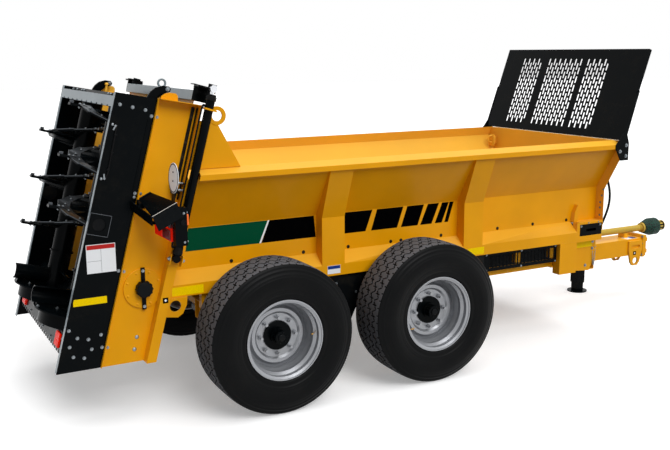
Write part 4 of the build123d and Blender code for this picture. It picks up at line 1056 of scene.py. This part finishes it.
piece("grease_lines", HOSE, tubes(0.0055, 10, on(
    GREASE_Y, (0.03, 1.745), (0.042, 1.77), (0.05, 1.74), (0.054, 1.64), (0.056, 1.52),
    (0.058, 1.42), (0.052, 1.372)), axes=REAR), soft=SOFT)
piece("grease_clips", SATIN_BLACK, plates(PLATE_Y, 0.014, 0.002, *(
    (0.046, 0.066, along - 0.005, along + 0.005) for along in (1.68, 1.56, 1.44)), axes=REAR))
piece(
    "line_fittings", ZINC,
    tubes(0.0085, 6, *(
        on(GREASE_Y, (0.046, along), (0.04, along - 0.012 * way))
        for along, way in GREASE_ENDS), axes=REAR),
    tubes(0.0065, 10, *(
        on(GREASE_Y, (0.04, along - 0.012 * way), (0.034, along - 0.036 * way))
        for along, way in GREASE_ENDS), axes=REAR),
    domes(0.011, 0.01, OUT, on(PLATE_Y, (0.024, 1.745), (0.024, 1.372)), REAR),
    tubes(0.0105, 6, *(on(PIPES_Y, (-1.31, z + 0.004), (-1.29, z + 0.002)) for z in PIPES_Z)),
    tubes(0.008, 12, *(on(PIPES_Y, (-1.29, z + 0.002), (-1.268, z)) for z in PIPES_Z)),
    soft=SOFT)
piece("pressure_lines", HOSE, tubes(0.0085, 12, *(
    on(
        PIPES_Y, (-1.27, z), (-1.258, z - 0.003), (-1.25, z - 0.012), (-1.25, z - 0.03),
        (-1.262, z - 0.09), (-1.285, z - drop * 0.6), (-1.305, z - drop))
    for z, drop in zip(PIPES_Z, (0.3, 0.23)))), soft=SOFT)
# the valve block that the two pressure lines start from
piece("line_blocks", SATIN_BLACK, plates(PLATE_Y, 0.065, 0.004, (-1.345, -1.306, 1.63, 1.722)))
piece(
    "hinge_knobs", YELLOW,
    domes(0.016, 0.018, UP, [REAR @ Vector((0.33, 0.742, 2.045))]),
    tubes(0.01, 12, ((0.335, 0.742, 1.972), (0.331, 0.742, 2.045)), axes=REAR), soft=SOFT)
# the pivot pin through the curved lug, a washer and nut on either side
piece("hinge_pins", ZINC, *(
    bolts(0.011, normal, [(0.356, face, 2.064)], REAR)
    for face, normal in ((0.778, OUT), (0.762, IN))))


# Beaters: wear segments on the flights, knives, bolts


BEATER = REAR @ Matrix.Translation((BEATER_OUT, BEATER_Y, 0))
FLIGHT_THICK = 0.009
FLIGHT_STEPS = 12
FLIGHT_RISE = 0.366 / FLIGHT_STEPS
FLIGHT_SEGMENTS = 30
FLIGHT_START = {1: (0.835, 180), -1: (0.899, 0)}
STEP_TURN = 2 * math.pi / FLIGHT_STEPS
TINE_EVERY = 3
TINE_TOP = 0.014
DISC_TOP = 0.37
KNIFE = ((-0.003, 0.026), (0.003, 0.026), (0.003, 0.054), (-0.003, 0.054))
# (share of a step, radius, lift) at the corners of a wear segment
SEGMENT = ((0.02, 0.206, 0.001), (0.98, 0.206, 0.006), (0.9, 0.296, 0.006), (-0.1, 0.292, 0.001))


def around(angle, radius, height):
    """A place on the left rotor, which the right one mirrors."""
    return (radius * math.cos(angle), radius * math.sin(angle), height)


def along_flight(hand, steps):
    """The angle and the height of the flight after so many steps."""
    start, turn = FLIGHT_START[hand]
    return math.radians(turn) + steps * STEP_TURN, start + steps * FLIGHT_RISE


def draw_segments(shape, hand):
    """Bolted wear segments; each one's leading end lies over the one before."""
    for index in range(FLIGHT_SEGMENTS):
        corners = []
        for share, radius, lift in SEGMENT:
            angle, height = along_flight(hand, index + share)
            corners.append((angle, radius, height + FLIGHT_THICK + lift))
        low, high = (
            [placed(BEATER, around(angle, radius, height + rise), hand)
             for angle, radius, height in corners] for rise in (0.0, 0.006))
        add_solid(shape, low, high)


def draw_knives(shape, hand):
    for index in range(0, FLIGHT_SEGMENTS + 1, TINE_EVERY):
        angle, height = along_flight(hand, index)
        place = placed(BEATER, around(angle, 0.3, height + TINE_TOP - 0.001), hand)
        matrix = basis(
            place, turned(BEATER, UP, hand), turned(BEATER, around(angle, 1, 0), hand))
        add_prism(shape, KNIFE, 0.018, matrix, 0.0012)


def make_beater_details():
    for hand, body in ((1, "beater_left"), (-1, "beater_right")):
        tines = [along_flight(hand, step) for step in range(0, FLIGHT_SEGMENTS + 1, TINE_EVERY)]
        halves = [along_flight(hand, step + 0.45) for step in range(FLIGHT_SEGMENTS)]
        quarters = [math.radians(FLIGHT_START[hand][1] + 90 * index) for index in range(4)]
        on_beater = {"signs": [hand], "body": body}
        piece("flight_segments_" + body, WORN_STEEL_AND_HIGHLIGHT, draw_segments, **on_beater)
        piece("cutting_knives_" + body, WORN_STEEL_AND_HIGHLIGHT, draw_knives, **on_beater)
        piece(
            "rotor_bolts_" + body, ZINC,
            bolts(0.0095, UP, [
                around(angle, radius, height + TINE_TOP)
                for angle, height in tines for radius in (0.252, 0.28)], BEATER),
            bolts(0.0095, (0, 0, -1), [
                around(angle, radius, height - 0.003)
                for angle, height in tines for radius in (0.252, 0.28)], BEATER),
            bolts(0.0075, UP, [
                around(angle, 0.232, height + 0.018) for angle, height in halves], BEATER),
            bolts(0.01, UP, [
                around(angle + offset, radius, DISC_TOP) for angle in quarters
                for offset, radius in ((-0.12, 0.15), (0.17, 0.205), (-0.06, 0.286))], BEATER),
            **on_beater)


make_beater_details()


# Hatch, top beam and tail lamps


HATCH_OUT = (-0.001, 0.149)
HATCH_ALONG = (0.986, 1.136)
HATCH_EDGE = 0.0035
LENS_FEET = (0.202, 0.152)

# pale steel strips along the square hatch plate's edges: painted highlights on its edges
piece("hatch_edge_highlights", WORN_STEEL_AND_HIGHLIGHT, plates(
    PLATE_Y + 0.003, 0.0016, 0.0004,
    (HATCH_OUT[0], HATCH_OUT[0] + HATCH_EDGE, *HATCH_ALONG),
    (*HATCH_OUT, HATCH_ALONG[0], HATCH_ALONG[0] + HATCH_EDGE),
    (HATCH_OUT[1] - HATCH_EDGE, HATCH_OUT[1], *HATCH_ALONG),
    (*HATCH_OUT, HATCH_ALONG[1] - HATCH_EDGE, HATCH_ALONG[1]), axes=REAR))
# the plate that closes the hatch hole from inside
piece("hatch_covers", SATIN_BLACK, lathe(
    [(0.06, 0.0), (0.06, 0.004), (0.056, 0.005)], (0.074, 0.811, 1.061), IN, 36, axes=REAR))
piece(
    "top_beam_bolts", ZINC,
    bolts(0.008, AFT, [(0.074, y, 1.949) for y in (0.365, 0.435, 0.6, 0.74)], REAR),
    bolts(0.01, UP, [(out, y, 1.944) for out in (0.105, 0.225) for y in (0.34, 0.46)], REAR),
    bolts(0.007, AFT, [
        (0.018, y, along) for along in (0.16, 0.23) for y in (0.1, 0.38, 0.72)], REAR),
    domes(0.007, 0.004, AFT, [(0.0, 0.79, along) for along in (0.6, 1.1, 1.6, 1.8)], REAR))
# upright optic ribs on the tail lamps' lenses
piece("tail_lens_ribs", RED, blocks(0.0012, *(
    (0.0015, 0.0045, y, y + 0.0075, foot + 0.004, foot + 0.042)
    for foot in LENS_FEET for y in (0.568 + index * 0.013 for index in range(9))), axes=REAR))
piece("rotor_seals", WORN_STEEL_AND_HIGHLIGHT, lathe(
    [(0.0485, 0.0), (0.056, 0.002), (0.056, 0.016), (0.05, 0.02), (0.0485, 0.05)],
    (0, 0, 1.874), UP, 32, False, BEATER), soft=SOFT)


# Front end: bolts, net guard, corner rings


NET_Y = 0.76
GUARD_Y = 0.764
NET_X = (1.518, 2.262)
NET_Z = (0.728, 0.84)
NET_STEP = 0.012
NET_WIRES = 62
NET_ROWS = 9

piece(
    "front_bolts", ZINC,
    bolts(0.008, AFT, [(BODY_FRONT, y, z) for y, z in (
        (0.755, 1.205), (0.755, 1.155), (0.755, 1.085), (0.772, 1.27), (0.79, 1.33))]),
    bolts(0.011, OUT, on(
        COLUMN_Y, (2.77, 0.832), (2.77, 0.766), (2.69, 0.61), (2.53, 0.6))),
    bolts(0.008, OUT, on(0.788, (2.556, 1.004), (2.79, 1.004))),
    bolts(0.006, OUT, on(0.795, (2.64, 1.032), (2.76, 1.032))),
    bolts(0.012, OUT, on(0.979, (2.868, 1.752), (2.868, 1.655), (2.795, 1.7))),
    bolts(0.01, AFT, [(4.08, 0.13, z) for z in (0.635, 0.56, 0.44)]),
    bolts(0.012, AHEAD, [(4.14, y, z) for z in (0.625, 0.445) for y in (0.05, 0.112)]))
# the woven wire net in the guard's window, and the sheet behind it
piece(
    "wire_nets", SATIN_BLACK,
    tubes(0.0014, 4, *(
        ((x, NET_Y, NET_Z[0]), (x, NET_Y, NET_Z[1]))
        for x in (1.524 + index * NET_STEP for index in range(NET_WIRES)))),
    tubes(0.0014, 4, *(
        ((NET_X[0], NET_Y + 0.002, z), (NET_X[1], NET_Y + 0.002, z))
        for z in (0.738 + index * NET_STEP for index in range(NET_ROWS)))))
piece("net_backings", SATIN_BLACK, blocks(0.002, (1.48, 2.29, 0.7003, 0.706, 0.716, 0.846)))
# a black sheet between the net guard and the wheel, standing in as painted shade for the dark
# space there
piece("guard_shade_fillers", SATIN_BLACK, blocks(0.002, (1.12, 1.469, SHIELD_Y, GUARD_Y, 0.705, 0.864)))


# Between the wheels: a black shield that stands in for shade, spring clamps, brakes, floor chain


# outline of the black shield, fitted to the gap between the tyres, which it fills with painted
# shade
HALF_SHIELD = ((0.365, 0.864), (0.365, 0.785), (0.25, 0.77), (0.215, 0.64), (0.12, 0.448))
SHIELD = (*HALF_SHIELD, *((-x, z) for x, z in HALF_SHIELD[::-1]))
CHAIN_Y = (0.404, 0.436)
CHAIN_HALF = 0.078
CHAIN_LINKS = [-1.53 + index * 0.1 for index in range(41)]

# a black shield bolted to the cross members' ends, its outline fitted to the gap between the
# tyres: painted shade for the dark space under the body
piece(
    "under_body_shade_shields", SATIN_BLACK, panels(SHIELD_Y, 0.008, 0.002, SHIELD),
    blocks(0.002, *(
        (x - 0.006, x + 0.006, 0.56, SHIELD_Y, 0.47, 0.64) for x in (-0.09, 0.09))))
piece(
    "suspension_bolts", ZINC, bolts(0.009, OUT, on(
        SHIELD_Y + 0.008, (-0.33, 0.84), (0.33, 0.84), (-0.33, 0.805), (0.33, 0.805),
        (0.0, 0.79), (0.18, 0.7))),
    tubes(0.022, 20, ((0, 0.568, 0.52), (0, 0.772, 0.52))), soft=SOFT)
# the U-bolts that clamp each spring to its axle, and the seat plates
piece("spring_clamps", SATIN_BLACK, *(
    drawing for x in AXLES.values() for drawing in (
        tubes(0.008, 10, *(
            ((x + across, y, 0.49), (x + across, y, 0.694))
            for across in (-0.052, 0.052) for y in (0.512, 0.598))),
        tubes(0.008, 10, *(
            ((x + across, 0.504, 0.694), (x + across, 0.606, 0.694))
            for across in (-0.052, 0.052))),
        blocks(0.003, (x - 0.075, x + 0.075, 0.5, 0.61, 0.492, 0.506)))))
# a diaphragm chamber, its lever and its shaft beside each axle
BRAKE = (
    (0.03, 0.0), (0.06, 0.008), (0.078, 0.04), (0.086, 0.046), (0.086, 0.056),
    (0.078, 0.062), (0.07, 0.11), (0.04, 0.122),
)
piece("brake_chambers", SATIN_BLACK, *(
    drawing for x in AXLES.values() for drawing in (
        lathe(BRAKE, (x - 0.055, 0.4, AXLE_Z), AFT, 36),
        tubes(0.014, 12, ((x - 0.03, 0.475, AXLE_Z + 0.075), (x - 0.03, 0.475, AXLE_Z - 0.1))),
        tubes(0.009, 12, ((x - 0.11, 0.455, AXLE_Z - 0.095), (x - 0.03, 0.475, AXLE_Z - 0.095))),
        tubes(0.016, 12, ((x, 0.47, AXLE_Z - 0.054), (x, 0.86, AXLE_Z - 0.054))))), soft=SOFT)
# link plates along both runs of the floor chain
piece("floor_chain_links", WORN_STEEL_AND_HIGHLIGHT, blocks(0.002, *(
    (x, x + 0.062, *CHAIN_Y, CONVEYOR_Z + way * (CHAIN_HALF - 0.002),
     CONVEYOR_Z + way * (CHAIN_HALF + 0.005)) for x in CHAIN_LINKS for way in (1, -1))))
piece("guard_bolts", ZINC, bolts(0.007, OUT, on(
    GUARD_Y, *((x, z) for x in (1.49, 1.88, 2.275) for z in (0.71, 0.85)))))
# the welded ring and ear inside each front corner of the body
piece(
    "corner_rings", YELLOW,
    blocks(0.003, (2.75, 2.762, 0.76, 0.84, 1.6, 1.72)),
    torus((2.745, 0.8, 1.672), (0.35, 1, 0.1), 0.034, 0.008),
    blocks(0.003, (2.756, BODY_FRONT, 0.79, 0.812, 1.62, 1.7)), soft=SOFT)


# Small blank plates on the post's box, the drawbar's lug and the skirt


BADGES = ((-1.437, 0.9, 0.885), (3.964, 0.14, 0.469))


def draw_badge_marks(shape, sign):
    """The pale lozenge on each small plate, which stands for nothing."""
    for x, y, z in BADGES:
        matrix = basis((x, sign * (y + 0.0014), z), mirrored(OUT, sign))
        add_prism(shape, circle(0.011, 4), 0.0006, matrix)


piece("black_badges", BLACK_FILM, blocks(0.0006, *(
    (x - 0.02, x + 0.02, y, y + 0.0015, z - 0.02, z + 0.02) for x, y, z in BADGES)))
piece("badge_marks", WHITE_SIGN, draw_badge_marks)
piece("white_plates", WHITE_SIGN, plates(SKIRT_Y, 0.0012, 0.0005, (-0.094, 0.02, 0.884, 0.95)))
piece("blue_plate_tops", BLUE_FILM, plates(
    SKIRT_Y + 0.001, 0.0008, 0.0004, (-0.092, 0.018, 0.922, 0.948)))


# Pin chain, drawbar, shaft guard and jack


CHAIN_START = Vector((2.766, -0.7335, 0.762))
CHAIN_COUNT = 30
CHAIN_WIDTH = 0.034
CHAIN_RISE = 0.018
CHAIN_DROP = 0.16


def pin_chain_place(share):
    swing = math.sin(math.pi * min(1, share)) ** 0.75
    return CHAIN_START + Vector((
        CHAIN_WIDTH * share, 0, CHAIN_RISE * share - CHAIN_DROP * swing))


def draw_pin_chain(shape, sign):
    """A short steel chain, hung from a bolt by the drawbar."""
    for index in range(CHAIN_COUNT + 1):
        place = pin_chain_place(index / CHAIN_COUNT)
        way = (pin_chain_place((index + 0.5) / CHAIN_COUNT) - place).normalized()
        across = Vector((0, sign, 0))
        normal = across if index % 2 else way.cross(across)
        add_torus(shape, place, normal, 0.0062, 0.0016, 12, 6)


def collar(x, profile, count):
    return lathe(profile, (x, 0, DRIVE_Z), AHEAD, count, False)


COLLAR = ((0.0335, 0.0), (0.0385, 0.002), (0.0385, 0.007), (0.0335, 0.009))
WIDE_COLLAR = ((0.034, 0.0), (0.052, 0.004), (0.055, 0.024), (0.05, 0.03))
CUP_LIP = ((0.046, 0.0), (0.0545, 0.0), (0.0545, 0.0075), (0.046, 0.0075), (0.046, 0.0))
GRIP = ((0.012, 0.0), (0.017, 0.006), (0.016, 0.04), (0.018, 0.074), (0.012, 0.082))

piece("pin_chain", ZINC, draw_pin_chain, signs=ONCE, soft=SOFT)
piece("drawbar_plate", WHITE_SIGN, blocks(
    0.0006, (3.88, 4.03, -0.105, -0.02, 0.6195, 0.6212)), signs=ONCE)
piece("drawbar_plate_end", BLUE_FILM, blocks(
    0.0005, (3.96, 4.028, -0.103, -0.022, 0.6208, 0.622)), signs=ONCE)
piece(
    "shaft_guard_collars", GUARD_YELLOW,
    *(collar(x, COLLAR, 32) for x in (2.835, 2.85, 2.865, 3.38, 3.395, 4.15, 4.165)),
    collar(4.18, WIDE_COLLAR, 36), signs=ONCE, soft=SOFT)
piece(
    "yoke_grips", GUARD_YELLOW,
    ribs(10, (0.05, 0.0555, -0.009, 0.009, 0.0, 0.07), 0.002, (4.402, 0, DRIVE_Z), AHEAD),
    collar(4.492, CUP_LIP, 36), signs=ONCE, body="pto_yoke", soft=SOFT)
piece(
    "sleeve_pin", ZINC,
    lathe([(0.016, -0.006), (0.016, 0.012), (0.012, 0.016)], (JACK_X, 0.3715, 0.548), OUT, 24),
    torus((JACK_X, 0.392, 0.53), (0, 1, 0.2), 0.022, 0.003), signs=ONCE, soft=SOFT)
piece(
    "jack_crank", SATIN_BLACK,
    tubes(0.021, 20, ((JACK_X, 0.428, 0.72), (JACK_X, 0.442, 0.72))),
    blocks(0.003, (JACK_X - 0.012, JACK_X + 0.012, 0.428, 0.438, 0.56, 0.735)),
    tubes(0.008, 12, ((JACK_X, 0.436, 0.572), (JACK_X, 0.475, 0.572))),
    signs=ONCE, body="jack_tube", soft=SOFT)
piece(
    "jack_grip", PLUG, lathe(GRIP, (JACK_X, 0.472, 0.572), OUT, 24),
    signs=ONCE, body="jack_tube", soft=SOFT)


# Folded and cut edges of CAD nodes broken by a small radius


WELD_DISTANCE = 0.00002
CRISP_ANGLE = math.radians(32)

for width, names in (
        (0.004, ("side_wall_left", "side_wall_right", "drawbar", "hitch_head", "chassis_frame")),
        (0.003, (
            "front_wall", "front_column_left", "front_column_right", "jack_sleeve", "door_beam")),
        (0.0025, ("rear_post_left", "rear_post_right", "rail_gussets")),
        (0.002, ("screen_arms",)),
        (0.0015, ("housing_plate_left", "housing_plate_right")),
        (0.001, ("lamp_guards",))):
    for name in names:
        weld = nodes[name].modifiers.new("weld", "WELD")
        weld.merge_threshold = WELD_DISTANCE
        bevel = nodes[name].modifiers.new("bevel", "BEVEL")
        bevel.width = width
        bevel.segments = 2
        bevel.limit_method = "ANGLE"
        bevel.angle_limit = CRISP_ANGLE


# Floor, light and background


FLOOR_HALF = 60
FLOOR_SEEN = (0.24, 0.24, 0.24, 1)
FLOOR_GLOW = 0.3
SKY = (0.95, 0.97, 1.0, 1)
SKY_STRENGTH = 0.26
# name, where from, angle in degrees, strength
SUNS = (
    ("key", (0.6, -5.0, 4.4), 36, 1.75),
    ("top", (0.6, 0.4, 8.0), 60, 1.7),
    ("fill", (7.0, -5.0, 4.0), 50, 0.3),
    ("behind", (-5.0, 6.0, 4.0), 50, 0.3),
)


def seen_directly(tree):
    """A socket that is 1 for what the camera sees, also by gloss or through glass."""
    path = add_node(tree, "ShaderNodeLightPath")
    result = path.outputs["Is Camera Ray"]
    for name in ("Is Glossy Ray", "Is Transmission Ray"):
        result = add_node(
            tree, "ShaderNodeMath", {0: result, 1: path.outputs[name]},
            operation="MAXIMUM").outputs[0]
    return result


def make_floor():
    """A pale floor that lights the machine from below more than it shows."""
    half = FLOOR_HALF
    floor = bpy.data.meshes.new("floor")
    floor.from_pydata(
        [(-half, -half, 0), (half, -half, 0), (half, half, 0), (-half, half, 0)], [],
        [(0, 1, 2, 3)])
    made = add_object("floor", floor)
    shader = Shader("pale_floor")
    fill(shader.tree, shader.main, {"Roughness": 0.9, "Base Color": shader.ramp(
        shader.noise(0.8, 3.0), ((0.3, (0.86, 0.86, 0.86, 1)), (0.7, (0.9, 0.9, 0.9, 1))))})
    glow = shader.node("ShaderNodeEmission", {"Strength": FLOOR_GLOW})
    bright = shader.node("ShaderNodeAddShader", {
        0: shader.main.outputs["BSDF"], 1: glow.outputs["Emission"]})
    dim = shader.node("ShaderNodeBsdfDiffuse", {"Color": FLOOR_SEEN})
    seen = shader.node("ShaderNodeMixShader", {
        "Fac": seen_directly(shader.tree), 1: dim.outputs["BSDF"], 2: bright.outputs["Shader"]})
    shader.tree.links.new(seen.outputs["Shader"], shader.output.inputs["Surface"])
    floor.materials.append(shader.material)


def make_light():
    world = bpy.data.worlds.new("studio")
    world.use_nodes = True
    bpy.context.scene.world = world
    tree = world.node_tree
    tree.nodes.clear()
    sky = add_node(
        tree, "ShaderNodeBackground", {"Color": SKY, "Strength": SKY_STRENGTH})
    seen = add_node(tree, "ShaderNodeBackground", {"Color": WHITE, "Strength": 1.0})
    mix = add_node(tree, "ShaderNodeMixShader", {
        "Fac": seen_directly(tree), 1: sky.outputs[0], 2: seen.outputs[0]})
    add_node(tree, "ShaderNodeOutputWorld", {"Surface": mix.outputs[0]})
    for name, place, spread, strength in SUNS:
        data = bpy.data.lights.new(name, "SUN")
        data.angle = math.radians(spread)
        data.energy = strength
        lamp = add_object(name, data)
        turn = Vector(place).to_track_quat("Z", "Y")
        lamp.matrix_world = Matrix.Translation(place) @ turn.to_matrix().to_4x4()
    bpy.context.scene.view_settings.view_transform = "Standard"


make_floor()
make_light()
